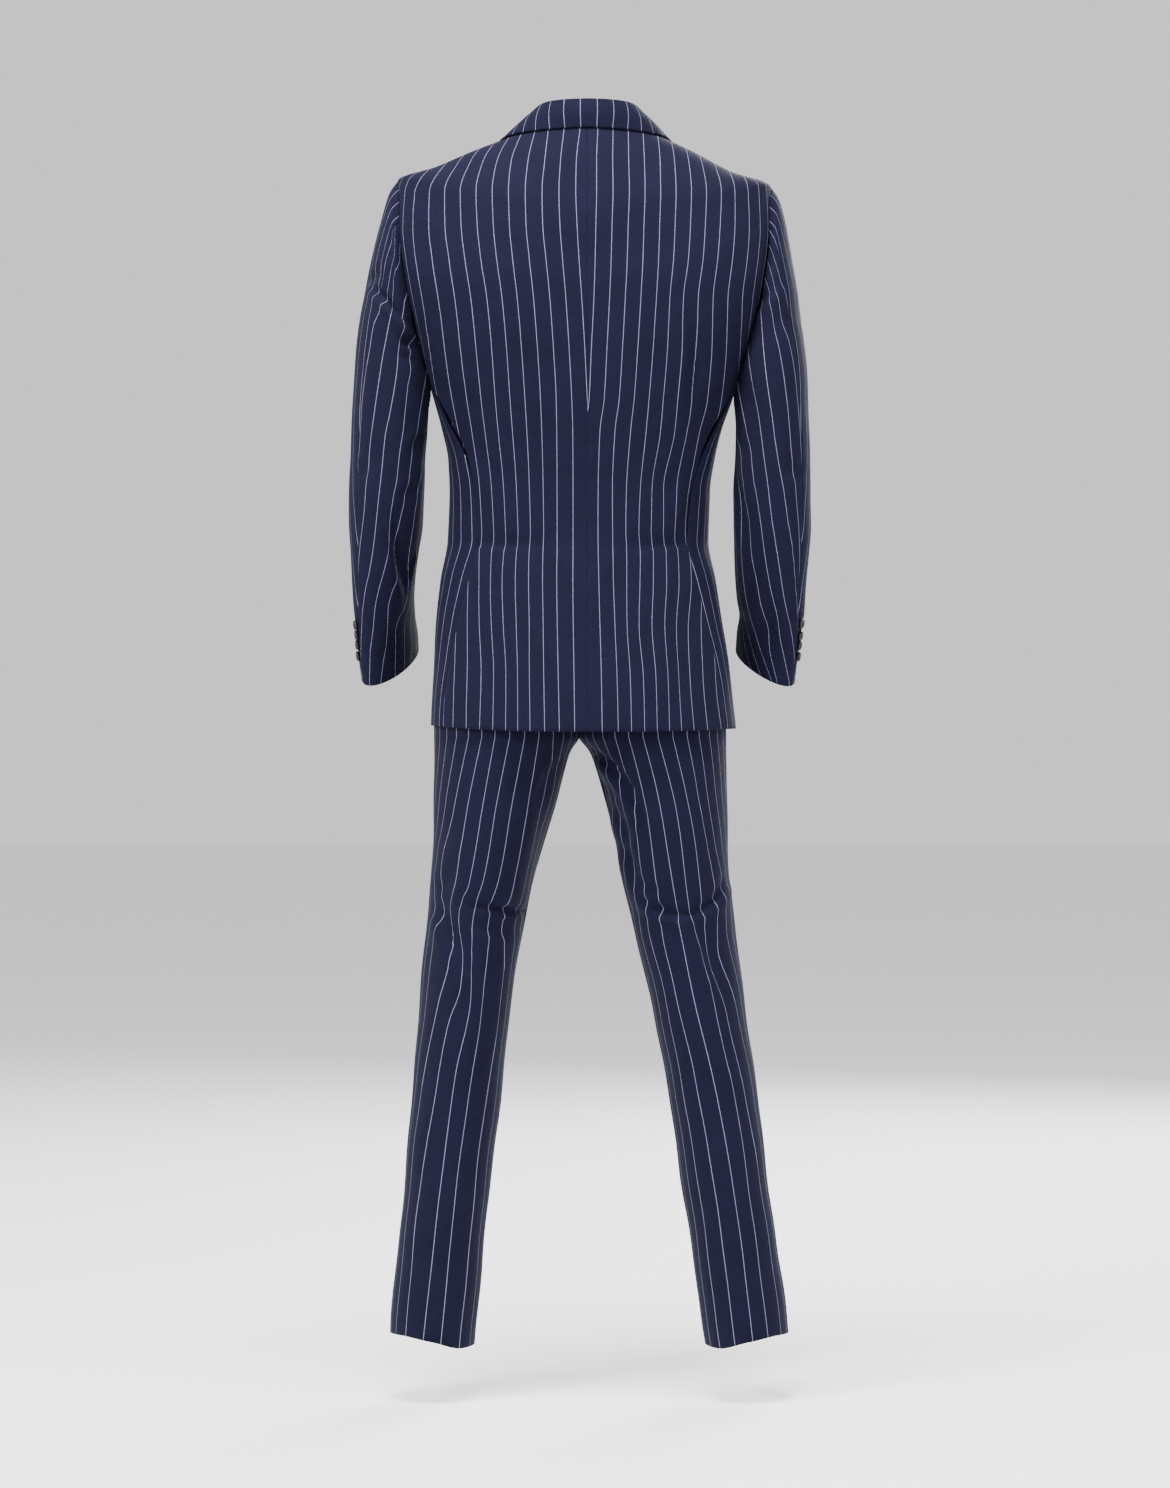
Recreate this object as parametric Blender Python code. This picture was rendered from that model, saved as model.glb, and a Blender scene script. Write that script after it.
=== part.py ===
"""Three-piece suit in navy pinstripe wool: jacket, waistcoat and trousers, in their worn form.

Every cloth piece is a thin wall whose outer points come from section tables, in metres.
+Z is up and the suit faces -Y, so +X is the wearer's left. The origin lies between the
shoulders, at the height of the neck points. An azimuth is measured round the body from the
centre back: 0 at the back, 90 at the wearer's left, 180 at the front. A level is a station
down the body; below the armholes it is the drop under the origin.
"""
import math

import bmesh
import bpy
import numpy as np
from mathutils import Matrix, Vector

# Driving dimensions
SEAM = 0.0003              # gap between two pieces at a seam
JACKET_WALL = 0.0020       # canvassed jacket cloth
SLEEVE_WALL = 0.0016
WAISTCOAT_WALL = 0.0014
TROUSER_WALL = 0.0013
LIE = 0.0008               # gap under a piece that lies on a curved panel
NECK_LEVEL = 0.0
TIP_LEVEL = 0.105          # shoulder point
UNDERARM_LEVEL = 0.300
BUTTON_LEVEL = 0.400       # jacket's top button, where the lapels start
HEM_LEVEL = 0.737          # jacket hem at the centre back
ARMHOLE_BACK = 15.0        # degrees that the armhole reaches behind the side
ARMHOLE_FRONT = 18.0
ARM_STEPS = 10             # wall steps down each half of the armhole
SIDE_STEP = 7              # armhole step where the side body starts
FRONT_LAP = 0.018          # left front past the centre
FLAP_TOP = 0.562           # hip pocket flaps, as levels and azimuths
FLAP_HEIGHT = 0.054
FLAP_FRONT = 153.0
FLAP_BACK = 113.5
FLAP_WALL = 0.0014
BUTTON_RADIUS = 0.0100
BUTTON_THICKNESS = 0.0028
BUTTON_TAPER = 0.86        # radius of a button's face against its back
JACKET_BUTTON_LEVELS = (0.408, 0.508)
CUFF_BUTTON_RADIUS = 0.0062
CUFF_BUTTON_PITCH = 0.01275
CUFF_LOWEST_BUTTON = -0.6430   # its height
CUFF_BUTTON_SHARE = 0.38   # place between the last two columns of the top sleeve
CUFF_BUTTON_SHANK = 0.0006
WAISTCOAT_BUTTON_LEVELS = np.linspace(0.300, 0.500, 5)
WAISTCOAT_BUTTON_RADIUS = 0.0070
WAISTBAND_BUTTON_RADIUS = 0.0075
WAISTBAND_BUTTON_THICKNESS = 0.0020
LAPEL_WALL = 0.0016
WELT_WALL = 0.0012
WELT_ENDS = (0.098, 0.186)   # breast welt's ends, from the centre line
WELT_LEVEL = 0.238
WELT_HEIGHT = 0.022
WELT_SLOPE = 0.10
STAND_WALL = 0.0014
STAND_INSET = 0.0046       # top of the collar's stand: behind the fold and below it
STAND_DROP = 0.0020
STAND_HOLLOW = 0.0010
STAND_FOOT_INSET = 0.0006
WAISTBAND_WALL = 0.0018
FLY_WALL = 0.0010
FLY_WIDTH = 0.034
FLY_LAP = 0.004            # fly past the centre


def columns(names, rows):
    """A table with named columns, one row for each section."""
    return dict(zip(names.split(), np.array(rows, dtype=float).T))


# Jacket body: heights at the back, left, right and front of each ring, half widths, depths
# and squareness (2 is an ellipse, 3 is flatter across the blades)
TORSO = columns(
    "level z_back z_left z_right z_front left right back front square",
    ((0.000, 0.004, 0.003, 0.002, -0.050, 0.0780, 0.0780, 0.066, 0.070, 2.10),
     (0.035, -0.032, -0.018, -0.020, -0.075, 0.1330, 0.1260, 0.086, 0.092, 2.12),
     (0.070, -0.070, -0.0395, -0.0455, -0.100, 0.1850, 0.1760, 0.103, 0.112, 2.18),
     (0.105, -0.108, -0.058, -0.066, -0.125, 0.2352, 0.2270, 0.115, 0.128, 2.30),
     (0.150, -0.152, -0.118, -0.124, -0.160, 0.2385, 0.2290, 0.121, 0.142, 2.80),
     (0.200, -0.202, -0.178, -0.183, -0.205, 0.2300, 0.2205, 0.126, 0.150, 3.25),
     (0.250, -0.251, -0.238, -0.241, -0.252, 0.2155, 0.2065, 0.1255, 0.150, 3.15),
     (0.300, -0.300, -0.300, -0.300, -0.300, 0.1975, 0.1880, 0.121, 0.147, 2.90),
     (0.327, -0.327, -0.327, -0.327, -0.327, 0.1900, 0.1790, 0.118, 0.146, 2.70),
     (0.365, -0.365, -0.365, -0.365, -0.365, 0.1800, 0.1650, 0.1135, 0.144, 2.50),
     (0.401, -0.401, -0.401, -0.401, -0.401, 0.1725, 0.1565, 0.109, 0.142, 2.35),
     (0.440, -0.440, -0.440, -0.440, -0.440, 0.1712, 0.1508, 0.105, 0.139, 2.25),
     (0.500, -0.500, -0.500, -0.500, -0.500, 0.1722, 0.1500, 0.1035, 0.136, 2.15),
     (0.550, -0.550, -0.550, -0.550, -0.550, 0.1812, 0.1583, 0.110, 0.139, 2.15),
     (0.600, -0.600, -0.600, -0.600, -0.600, 0.1868, 0.1660, 0.118, 0.143, 2.20),
     (0.650, -0.650, -0.650, -0.650, -0.650, 0.1898, 0.1737, 0.1265, 0.147, 2.30),
     (0.700, -0.700, -0.697, -0.698, -0.700, 0.1918, 0.1797, 0.132, 0.150, 2.40),
     (0.737, -0.737, -0.729, -0.733, -0.735, 0.1925, 0.1828, 0.134, 0.152, 2.40),
     (0.800, -0.800, -0.800, -0.800, -0.800, 0.1930, 0.1840, 0.134, 0.152, 2.40)))

# Azimuths of the two side seams below the armhole
SIDE_SEAMS = columns(
    "level back front",
    ((0.300, 77.0, 106.0), (0.400, 66.0, 108.0), (0.500, 63.0, 110.0),
     (0.600, 66.0, 111.0), (0.700, 69.0, 111.0), (0.800, 70.0, 111.0)))

# Distance of the jacket's front edge from the centre line, cut away below the buttons
FRONT_EDGE = columns(
    "level x",
    ((0.000, 0.0740), (0.050, 0.0655), (0.200, 0.0365), (0.380, 0.0020), (0.405, -0.0100),
     (0.430, -0.0180), (0.500, -0.0180), (0.550, -0.0110), (0.600, 0.0040), (0.650, 0.0270),
     (0.685, 0.0500), (0.712, 0.0800), (0.737, 0.1250)))

# Lapel: inner edge on the roll line and outer edge, each as distance from the centre and level
LAPEL = columns(
    "run inner_x inner_level outer_x outer_level",
    ((0.00, 0.0640, 0.0560, 0.1360, 0.0960), (0.12, 0.0590, 0.0820, 0.1340, 0.1120),
     (0.30, 0.0490, 0.1350, 0.1130, 0.1620), (0.55, 0.0330, 0.2180, 0.0760, 0.2400),
     (0.80, 0.0165, 0.3040, 0.0390, 0.3160), (1.00, 0.0040, 0.3700, 0.0100, 0.3760)))
GORGE_SHARE = 0.45         # share of the lapel's top edge that is sewn to the collar
NOTCH_DROP = 0.012         # how far the lapel's top sinks at the notch, as a level

# Collar, by its run from the centre back to the gorge: the fold line's azimuth, distance from
# the neck's axis and height, and the outer edge's azimuth and level on the body
COLLAR = columns(
    "run fold_azimuth fold_reach fold_z edge_azimuth edge_level",
    ((0.00, 0.0, 0.0670, 0.0350, 0.0, 0.0050), (0.30, 42.0, 0.0690, 0.0340, 38.0, 0.0072),
     (0.52, 75.0, 0.0685, 0.0280, 68.0, 0.0115), (0.66, 97.0, 0.0710, 0.0160, 88.0, 0.0170),
     (0.80, 117.0, 0.0810, -0.0020, 103.0, 0.0260), (0.90, 132.0, 0.0975, -0.0240, 112.0, 0.0370),
     (1.00, 145.0, 0.1185, -0.0560, 119.5, 0.0480)))
COLLAR_WALL = 0.0016
COLLAR_CROWN = 0.0034      # how far the fall rounds out between fold and edge
GORGE_BEND = 0.0120        # how far the collar's end dips at the inner corner of the notch
COLLAR_TURN_IN = 0.0026    # how far the cloth turns in behind the fold, and up
COLLAR_TURN_UP = 0.0006
STAND_END = 92.0

# Sleeves: outer and inner silhouette points, fore-and-aft centre and half depth, twist of the
# section, drop of its plane backwards (tilt) and outwards (lean), and the elbow seam's angle
SLEEVE_COLUMNS = "outer_x outer_z inner_x inner_z y depth twist tilt lean seam"
SLEEVE_LEFT = columns(
    SLEEVE_COLUMNS,
    ((0.2352, -0.058, 0.1975, -0.300, 0.000, 0.062, 0, 0.00, 0.00, 54),
     (0.2445, -0.072, 0.1990, -0.303, 0.000, 0.069, 0, 0.00, 0.00, 53),
     (0.2575, -0.118, 0.1985, -0.309, 0.001, 0.075, 0, 0.00, 0.00, 52),
     (0.2700, -0.168, 0.1970, -0.317, 0.002, 0.078, 0, 0.00, 0.00, 51),
     (0.2795, -0.222, 0.1960, -0.329, 0.003, 0.079, 0, 0.00, 0.00, 50),
     (0.2858, -0.277, 0.1960, -0.346, 0.004, 0.078, 0, 0.00, 0.00, 47),
     (0.2893, -0.328, 0.1970, -0.370, 0.005, 0.076, 0, 0.00, 0.00, 44),
     (0.2922, -0.388, 0.2000, -0.402, 0.006, 0.072, 0, 0.00, 0.00, 42),
     (0.2942, -0.440, 0.2010, -0.440, 0.005, 0.069, 2, 0.00, 0.00, 46),
     (0.2942, -0.480, 0.2030, -0.480, 0.001, 0.066, 6, 0.05, 0.00, 52),
     (0.2925, -0.515, 0.2090, -0.515, -0.005, 0.062, 11, 0.12, 0.00, 58),
     (0.2903, -0.550, 0.2135, -0.550, -0.012, 0.060, 16, 0.22, 0.00, 64),
     (0.2883, -0.580, 0.2150, -0.580, -0.020, 0.058, 21, 0.33, 0.02, 68),
     (0.2845, -0.606, 0.2145, -0.606, -0.029, 0.056, 25, 0.42, 0.04, 69),
     (0.2825, -0.630, 0.2120, -0.630, -0.037, 0.055, 28, 0.50, 0.05, 70),
     (0.2795, -0.6525, 0.2110, -0.6525, -0.043, 0.054, 30, 0.55, 0.06, 70)))
SLEEVE_RIGHT = columns(
    SLEEVE_COLUMNS,
    ((0.2270, -0.066, 0.1880, -0.300, 0.000, 0.062, 0, 0.00, 0.00, 54),
     (0.2355, -0.080, 0.1895, -0.303, 0.000, 0.069, 0, 0.00, 0.00, 53),
     (0.2470, -0.124, 0.1890, -0.309, 0.001, 0.075, 0, 0.00, 0.00, 52),
     (0.2558, -0.172, 0.1878, -0.317, 0.002, 0.078, 0, 0.00, 0.00, 51),
     (0.2635, -0.224, 0.1862, -0.329, 0.003, 0.079, 0, 0.00, 0.00, 50),
     (0.2693, -0.278, 0.1848, -0.346, 0.004, 0.078, 0, 0.00, 0.00, 47),
     (0.2722, -0.328, 0.1832, -0.370, 0.005, 0.076, 0, 0.00, 0.00, 44),
     (0.2745, -0.388, 0.1822, -0.402, 0.006, 0.073, 0, 0.00, 0.00, 42),
     (0.2757, -0.440, 0.1805, -0.440, 0.005, 0.070, 2, 0.00, 0.00, 46),
     (0.2759, -0.480, 0.1803, -0.480, 0.001, 0.067, 6, 0.05, 0.01, 52),
     (0.2737, -0.515, 0.1815, -0.515, -0.005, 0.064, 11, 0.11, 0.03, 58),
     (0.2705, -0.550, 0.1832, -0.550, -0.012, 0.061, 16, 0.19, 0.06, 64),
     (0.2680, -0.580, 0.1855, -0.580, -0.020, 0.059, 21, 0.27, 0.10, 68),
     (0.2630, -0.606, 0.1890, -0.606, -0.029, 0.057, 25, 0.34, 0.14, 69),
     (0.2600, -0.630, 0.1865, -0.630, -0.037, 0.056, 28, 0.40, 0.17, 70),
     (0.2570, -0.6545, 0.1855, -0.6545, -0.043, 0.054, 30, 0.45, 0.20, 70)))
SLEEVE_SEAM_FRONT = -126.0  # angle of the inner front seam, from the outer side
CAP_RINGS = 5              # rings over which the armhole's form fades into the sleeve's
CAP_FREE = 2               # rings over which the folds set in below the armhole
ARM_ZONE = (55.0, 72.0)    # degrees from the centre line over which the body's folds end
UNDERARM_FREE = 0.360      # level where they may reach the side again

# Trouser legs below the fork: outer and inner edges, and half depths
LEGS = columns(
    "drop left_out left_in right_out right_in front back",
    ((0.745, 0.1883, 0.0108, -0.1710, 0.0100, 0.112, 0.106),
     (0.762, 0.1883, 0.0212, -0.1712, -0.0024, 0.108, 0.105),
     (0.784, 0.1884, 0.0278, -0.1722, -0.0105, 0.105, 0.103),
     (0.821, 0.1895, 0.0377, -0.1733, -0.0216, 0.101, 0.100),
     (0.858, 0.1910, 0.0488, -0.1738, -0.0302, 0.097, 0.096),
     (0.895, 0.1930, 0.0586, -0.1750, -0.0389, 0.093, 0.092),
     (0.932, 0.1950, 0.0685, -0.1775, -0.0463, 0.089, 0.088),
     (0.969, 0.1981, 0.0772, -0.1812, -0.0549, 0.085, 0.084),
     (1.006, 0.2019, 0.0846, -0.1858, -0.0636, 0.082, 0.082),
     (1.043, 0.2056, 0.0907, -0.1907, -0.0722, 0.079, 0.081),
     (1.080, 0.2092, 0.0957, -0.1960, -0.0815, 0.076, 0.081),
     (1.130, 0.2130, 0.1006, -0.2031, -0.0907, 0.074, 0.080),
     (1.192, 0.2170, 0.1068, -0.2117, -0.1006, 0.072, 0.077),
     (1.253, 0.2218, 0.1142, -0.2188, -0.1093, 0.070, 0.074),
     (1.315, 0.2278, 0.1216, -0.2255, -0.1183, 0.068, 0.071),
     (1.377, 0.2340, 0.1278, -0.2330, -0.1285, 0.066, 0.068),
     (1.438, 0.2400, 0.1332, -0.2422, -0.1366, 0.065, 0.066),
     (1.494, 0.2428, 0.1389, -0.2488, -0.1455, 0.064, 0.065)))
HEM_DROP = LEGS["drop"][-1]
HIP_LEVELS = np.array([0.5003, 0.530, 0.570, 0.610, 0.645, 0.675, 0.702, 0.725])
LEG_STEPS = 10             # wall steps across each leg panel
HEM_LIFT = columns("angle lift", ((-90.0, 0.0030), (-45.0, 0.0020), (0.0, 0.0120),
                                  (45.0, 0.0180), (90.0, 0.0170), (180.0, 0.0160),
                                  (270.0, 0.0030)))
FORK_LEVEL = 0.745
FORK_BLEND = 0.640         # level where the seat starts to part into legs

# Gap between the trousers and the jacket's outer face, at the wearer's left and right
HIP_INSET = columns(
    "level left right",
    ((0.460, 0.0105, 0.0105), (0.580, 0.0110, 0.0110), (0.640, 0.0082, 0.0110),
     (0.700, 0.0056, 0.0116), (0.740, 0.0043, 0.0118)))

# Waistcoat: its gap under the jacket's outer face, its armhole and its front edge
WAISTCOAT_INSET = columns(
    "level inset",
    ((0.010, 0.0048), (0.030, 0.0046), (0.050, 0.0036), (0.090, 0.0041), (0.140, 0.0056),
     (0.250, 0.0062), (0.400, 0.0064), (0.500, 0.0064), (0.600, 0.0064)))
WAISTCOAT_EDGE = columns(
    "level x",
    ((0.012, 0.0790), (0.050, 0.0700), (0.150, 0.0440), (0.240, 0.0150), (0.275, -0.0080),
     (0.300, -0.0120), (0.520, -0.0120), (0.545, -0.0020), (0.575, 0.0260)))
WAISTCOAT_EASE = 0.0048    # further in at the centre front, clear of the jacket's lap
TROUSER_EASE = 0.0105
WAISTCOAT_NECK = 0.012
WAISTCOAT_TIP = 0.072      # its shoulder is narrower than the jacket's
WAISTCOAT_UNDERARM = 0.330
WAISTCOAT_ARMHOLE_BACK = 27.0
WAISTCOAT_ARMHOLE_FRONT = 30.0
WAISTCOAT_HEM = 0.520      # at the back and sides
WAISTCOAT_POINT = 0.570    # at the front points
WAISTBAND_TOP = 0.462
WAISTBAND_FOOT = 0.500
FLY_FOOT = 0.636

# Largest folds: a trough or ridge along a line on the back or front face, in front view.
# face is 1 for the back and -1 for the front; a negative depth is a trough.
FOLDS = columns(
    "face x0 z0 x1 z1 width depth",
    ((1, 0.205, -0.232, 0.272, -0.168, 0.020, -0.0060),
     (1, 0.200, -0.285, 0.236, -0.262, 0.016, -0.0050),
     (1, 0.214, -0.560, 0.236, -0.480, 0.014, -0.0045),
     (1, -0.215, -0.250, -0.252, -0.225, 0.016, -0.0040),
     (1, 0.160, -0.507, 0.030, -0.510, 0.013, -0.0030),
     (1, -0.140, -0.507, -0.030, -0.512, 0.013, -0.0030),
     (1, 0.130, -0.955, 0.072, -0.964, 0.016, -0.0050),
     (1, 0.180, -0.905, 0.172, -0.980, 0.018, -0.0040),
     (1, -0.010, -0.785, -0.058, -0.838, 0.016, -0.0045),
     (1, -0.068, -0.955, -0.132, -0.945, 0.016, -0.0045),
     (-1, 0.205, -0.235, 0.255, -0.190, 0.020, -0.0050),
     (-1, -0.200, -0.235, -0.245, -0.195, 0.020, -0.0050),
     (-1, 0.080, -0.800, 0.150, -0.775, 0.018, -0.0045),
     (-1, -0.070, -0.800, -0.140, -0.778, 0.018, -0.0045),
     (-1, 0.110, -1.030, 0.170, -1.045, 0.020, -0.0040),
     (-1, -0.100, -1.035, -0.160, -1.050, 0.020, -0.0040)))

# Materials: colour, roughness
FINISHES = {
    "pinstripe_wool": ((0.024, 0.028, 0.066, 1.0), 0.85),
    "dark_horn": ((0.012, 0.011, 0.012, 1.0), 0.35),
}


def read(table, name, at, key="level"):
    """Value of a column at a station, on a smooth curve through the table's rows."""
    x, y = table[key], table[name]
    at = np.clip(at, x[0], x[-1])
    steep = np.diff(y) / np.diff(x)
    before, after = steep[:-1], steep[1:]
    same = before * after > 0
    middle = np.where(same, 2 * before * after / np.where(same, before + after, 1.0), 0.0)
    slope = np.concatenate((steep[:1], middle, steep[-1:]))
    i = np.clip(np.searchsorted(x, at, side="right") - 1, 0, len(x) - 2)
    span = x[i + 1] - x[i]
    t = (at - x[i]) / span
    return ((2 * t**3 - 3 * t**2 + 1) * y[i] + (t**3 - 2 * t**2 + t) * span * slope[i]
            + (3 * t**2 - 2 * t**3) * y[i + 1] + (t**3 - t**2) * span * slope[i + 1])


def unit(vectors):
    """Vectors of length one."""
    return vectors / np.maximum(np.linalg.norm(vectors, axis=-1, keepdims=True), 1e-12)


def smooth_step(value, low, high):
    """0 below low, 1 above high, with soft ends."""
    t = np.clip((value - low) / (high - low), 0.0, 1.0)
    return t * t * (3 - 2 * t)


def folded(points, normals, free=1.0):
    """Points pushed along their normals by the folds of the table, as far as they are free."""
    push = np.zeros(points.shape[:-1])
    for face, x0, z0, x1, z1, width, depth in zip(*FOLDS.values()):
        start, run = np.array([x0, z0]), np.array([x1 - x0, z1 - z0])
        flat = points[..., [0, 2]] - start
        along = np.clip((flat @ run) / (run @ run), 0.0, 1.0)
        away = np.linalg.norm(flat - along[..., None] * run, axis=-1)
        fade = np.sin(np.pi * np.clip(along, 0.12, 0.88)) * (points[..., 1] * face > 0.004)
        push += depth * fade * np.exp(-(away / width) ** 2)
    return points + normals * (push * free)[..., None]


def torso(azimuth, level):
    """Point of the jacket's outer face at an azimuth and a level."""
    azimuth, level = np.broadcast_arrays(np.asarray(azimuth, float), np.asarray(level, float))
    angle = np.radians(azimuth)
    east, north = np.sin(angle), np.cos(angle)
    half = np.where(east > 0, read(TORSO, "left", level), read(TORSO, "right", level))
    depth = np.where(north > 0, read(TORSO, "back", level), read(TORSO, "front", level))
    square = read(TORSO, "square", level)
    reach = ((np.abs(east) / half) ** square + (np.abs(north) / depth) ** square) ** (-1 / square)
    side = np.where(east > 0, read(TORSO, "z_left", level), read(TORSO, "z_right", level))
    end = np.where(north > 0, read(TORSO, "z_back", level), read(TORSO, "z_front", level))
    share = east**4
    return np.stack((east * reach, north * reach, side * share + end * (1 - share)), axis=-1)


def torso_normal(azimuth, level):
    """Outward normal of the jacket's outer face."""
    level = np.clip(level, TORSO["level"][0] + 0.002, TORSO["level"][-1] - 0.002)
    around = torso(azimuth + 0.5, level) - torso(azimuth - 0.5, level)
    down = torso(azimuth, level + 0.001) - torso(azimuth, level - 0.001)
    return unit(np.cross(around, down))


def azimuth_at(x, level):
    """Azimuth of the front point that lies at a distance x from the centre line."""
    x, level = np.broadcast_arrays(np.asarray(x, float), np.asarray(level, float))
    low, high = np.full(x.shape, 90.0), np.full(x.shape, 200.0)
    for _ in range(40):
        middle = (low + high) / 2
        nearer = torso(middle, level)[..., 0] > x
        low, high = np.where(nearer, middle, low), np.where(nearer, high, middle)
    return (low + high) / 2


def parted(azimuth, level, inset_side=(True, True)):
    """Azimuths of a panel with its two edges drawn in by half a seam's gap."""
    azimuth = np.array(azimuth, float)
    for column, drawn, turn in ((0, inset_side[0], 1), (-1, inset_side[1], -1)):
        if drawn:
            edge, row = azimuth[:, column], level[:, column]
            arc = np.linalg.norm(torso(edge + 0.5, row) - torso(edge - 0.5, row), axis=-1)
            inward = turn * np.sign(azimuth[-1, -1] - azimuth[-1, 0])
            azimuth[:, column] = edge + inward * SEAM / 2 / arc
    return azimuth


def material(name):
    """Principled finish from the table."""
    found = bpy.data.materials.get(name)
    if found:
        return found
    colour, roughness = FINISHES[name]
    made = bpy.data.materials.new(name)
    made.use_nodes = True
    shader = made.node_tree.nodes["Principled BSDF"]
    shader.inputs["Base Color"].default_value = colour
    shader.inputs["Roughness"].default_value = roughness
    shader.inputs["Metallic"].default_value = 0.0
    made.diffuse_color = colour
    return made


def solid(name, bm, finish):
    """Object from a closed bmesh, with its faces turned outwards."""
    if bm.calc_volume(signed=True) < 0:
        bmesh.ops.reverse_faces(bm, faces=bm.faces[:])
    mesh = bpy.data.meshes.new(name)
    bm.to_mesh(mesh)
    bm.free()
    mesh.shade_smooth()
    mesh.set_sharp_from_angle(angle=math.radians(35))
    mesh.materials.append(material(finish))
    made = bpy.data.objects.new(name, mesh)
    bpy.context.scene.collection.objects.link(made)
    return made


def wall(name, points, normals, thickness, finish="pinstripe_wool"):
    """Closed wall under a grid of outer points, with square edges all round."""
    rows, cols = points.shape[:2]
    bm = bmesh.new()
    skins = [[[bm.verts.new(p) for p in row] for row in skin]
             for skin in (points, points - normals * thickness)]
    outer, inner = skins
    for i in range(rows - 1):
        for j in range(cols - 1):
            for skin, order in ((outer, 1), (inner, -1)):
                a, b = skin[i][j], skin[i][j + 1]
                c, d = skin[i + 1][j + 1], skin[i + 1][j]
                bm.faces.new((a, b, c)[::order])
                bm.faces.new((a, c, d)[::order])
    rim = ([(0, j) for j in range(cols)] + [(i, cols - 1) for i in range(1, rows)]
           + [(rows - 1, j) for j in range(cols - 2, -1, -1)]
           + [(i, 0) for i in range(rows - 2, 0, -1)])
    for (i, j), (k, m) in zip(rim, rim[1:] + rim[:1]):
        bm.faces.new((outer[k][m], outer[i][j], inner[i][j]))
        bm.faces.new((outer[k][m], inner[i][j], inner[k][m]))
    return solid(name, bm, finish)


def torso_wall(name, azimuth, level, inset, thickness, lift=0.0):
    """Wall on the torso's form, inset under its outer face or lifted over it."""
    normals = torso_normal(azimuth, level)
    shift = np.asarray(lift - inset)
    points = torso(azimuth, level) + normals * (shift[..., None] if shift.ndim else shift)
    beside_arm = smooth_step(90.0 - np.abs(np.abs(azimuth) - 90.0), *ARM_ZONE)
    free = 1 - beside_arm * (1 - smooth_step(level, UNDERARM_LEVEL, UNDERARM_FREE))
    return wall(name, folded(points, normals, free), normals, thickness)


def armhole(turn):
    """Azimuth and level of the armhole's edge; turn is 0 at the shoulder, 90 at the back."""
    angle = np.radians(turn)
    level = TIP_LEVEL + (UNDERARM_LEVEL - TIP_LEVEL) * (1 - np.cos(angle)) / 2
    reach = np.where(np.sin(angle) > 0, ARMHOLE_BACK, ARMHOLE_FRONT)
    return 90.0 - reach * np.sin(angle), level


def spread(start, end, count):
    """Evenly spaced values between two columns, as a grid."""
    share = np.linspace(0.0, 1.0, count)
    return start[:, None] * (1 - share) + end[:, None] * share


SHOULDER_LEVELS = np.linspace(NECK_LEVEL, TIP_LEVEL, 5)[:-1]
ARMHOLE_LEVELS = armhole(np.linspace(0, 180, ARM_STEPS + 1))[1]
LOWER_LEVELS = np.array([0.327, 0.365, 0.401, 0.440, 0.480, 0.505, 0.530, 0.570,
                         0.610, 0.650, 0.695, HEM_LEVEL])
BODY_LEVELS = np.concatenate((SHOULDER_LEVELS, ARMHOLE_LEVELS, LOWER_LEVELS))
SIDE_ROW = len(SHOULDER_LEVELS) + SIDE_STEP


def body_edge(face):
    """Azimuths of a panel's outer edge: shoulder seam, armhole, then side seam."""
    turns = np.linspace(0, 180, ARM_STEPS + 1)[:SIDE_STEP + 1] * face
    upper = np.concatenate((np.full(len(SHOULDER_LEVELS), 90.0), armhole(turns)[0]))
    corner = upper[-1]
    below = BODY_LEVELS[SIDE_ROW + 1:]
    seam = read(SIDE_SEAMS, "back" if face > 0 else "front", below)
    start = seam[0]
    settle = 1 - smooth_step(below, BODY_LEVELS[SIDE_ROW], 0.40)
    return np.concatenate((upper, seam + (corner - start) * settle))


def jacket_back(side, name):
    """Half back: centre seam, shoulder, armhole, side seam and hem."""
    edge = body_edge(1)
    azimuth = spread(np.zeros_like(edge), edge, 8) * side
    level = np.repeat(BODY_LEVELS[:, None], 8, axis=1)
    return torso_wall(name, parted(azimuth, level), level, 0.0, JACKET_WALL)


def jacket_side(side, name):
    """Side body, from under the armhole to the hem."""
    count = 2 * (ARM_STEPS - SIDE_STEP) + 1
    step = 180.0 / ARM_STEPS
    turns = step * (SIDE_STEP + np.arange(count))
    top_azimuth, top_level = armhole(turns)
    levels = BODY_LEVELS[SIDE_ROW:]
    back, front = body_edge(1)[SIDE_ROW:], body_edge(-1)[SIDE_ROW:]
    even = spread(back, front, count)
    settle = smooth_step(levels, levels[0], 0.44)[:, None]
    azimuth = top_azimuth * (1 - settle) + even * settle
    azimuth[:, 0], azimuth[:, -1] = back, front
    sink = 1 - np.clip((levels - levels[0]) / (0.50 - levels[0]), 0, 1)[:, None]
    level = levels[:, None] + (top_level - levels[0]) * sink
    return torso_wall(name, parted(azimuth * side, level), level, 0.0, JACKET_WALL)


def tuck(azimuth, level, side):
    """How far the right front sinks where the left front laps over it."""
    x = torso(azimuth, level)[..., 0]
    near = 1 - smooth_step(np.abs(x), FRONT_LAP + 0.004, FRONT_LAP + 0.045)
    return near * smooth_step(level, 0.33, 0.39) * (JACKET_WALL + 2 * LIE if side < 0 else 0.0)


def jacket_front(side, name):
    """Forepart: shoulder, armhole, side seam and the front edge, which the lapel turns on."""
    edge = body_edge(-1)
    front = azimuth_at(read(FRONT_EDGE, "x", BODY_LEVELS), BODY_LEVELS)
    azimuth = spread(edge, front, 9) * side
    level = np.repeat(BODY_LEVELS[:, None], 9, axis=1)
    azimuth = parted(azimuth, level, (True, False))
    return torso_wall(name, azimuth, level, tuck(azimuth, level, side), JACKET_WALL)


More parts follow.
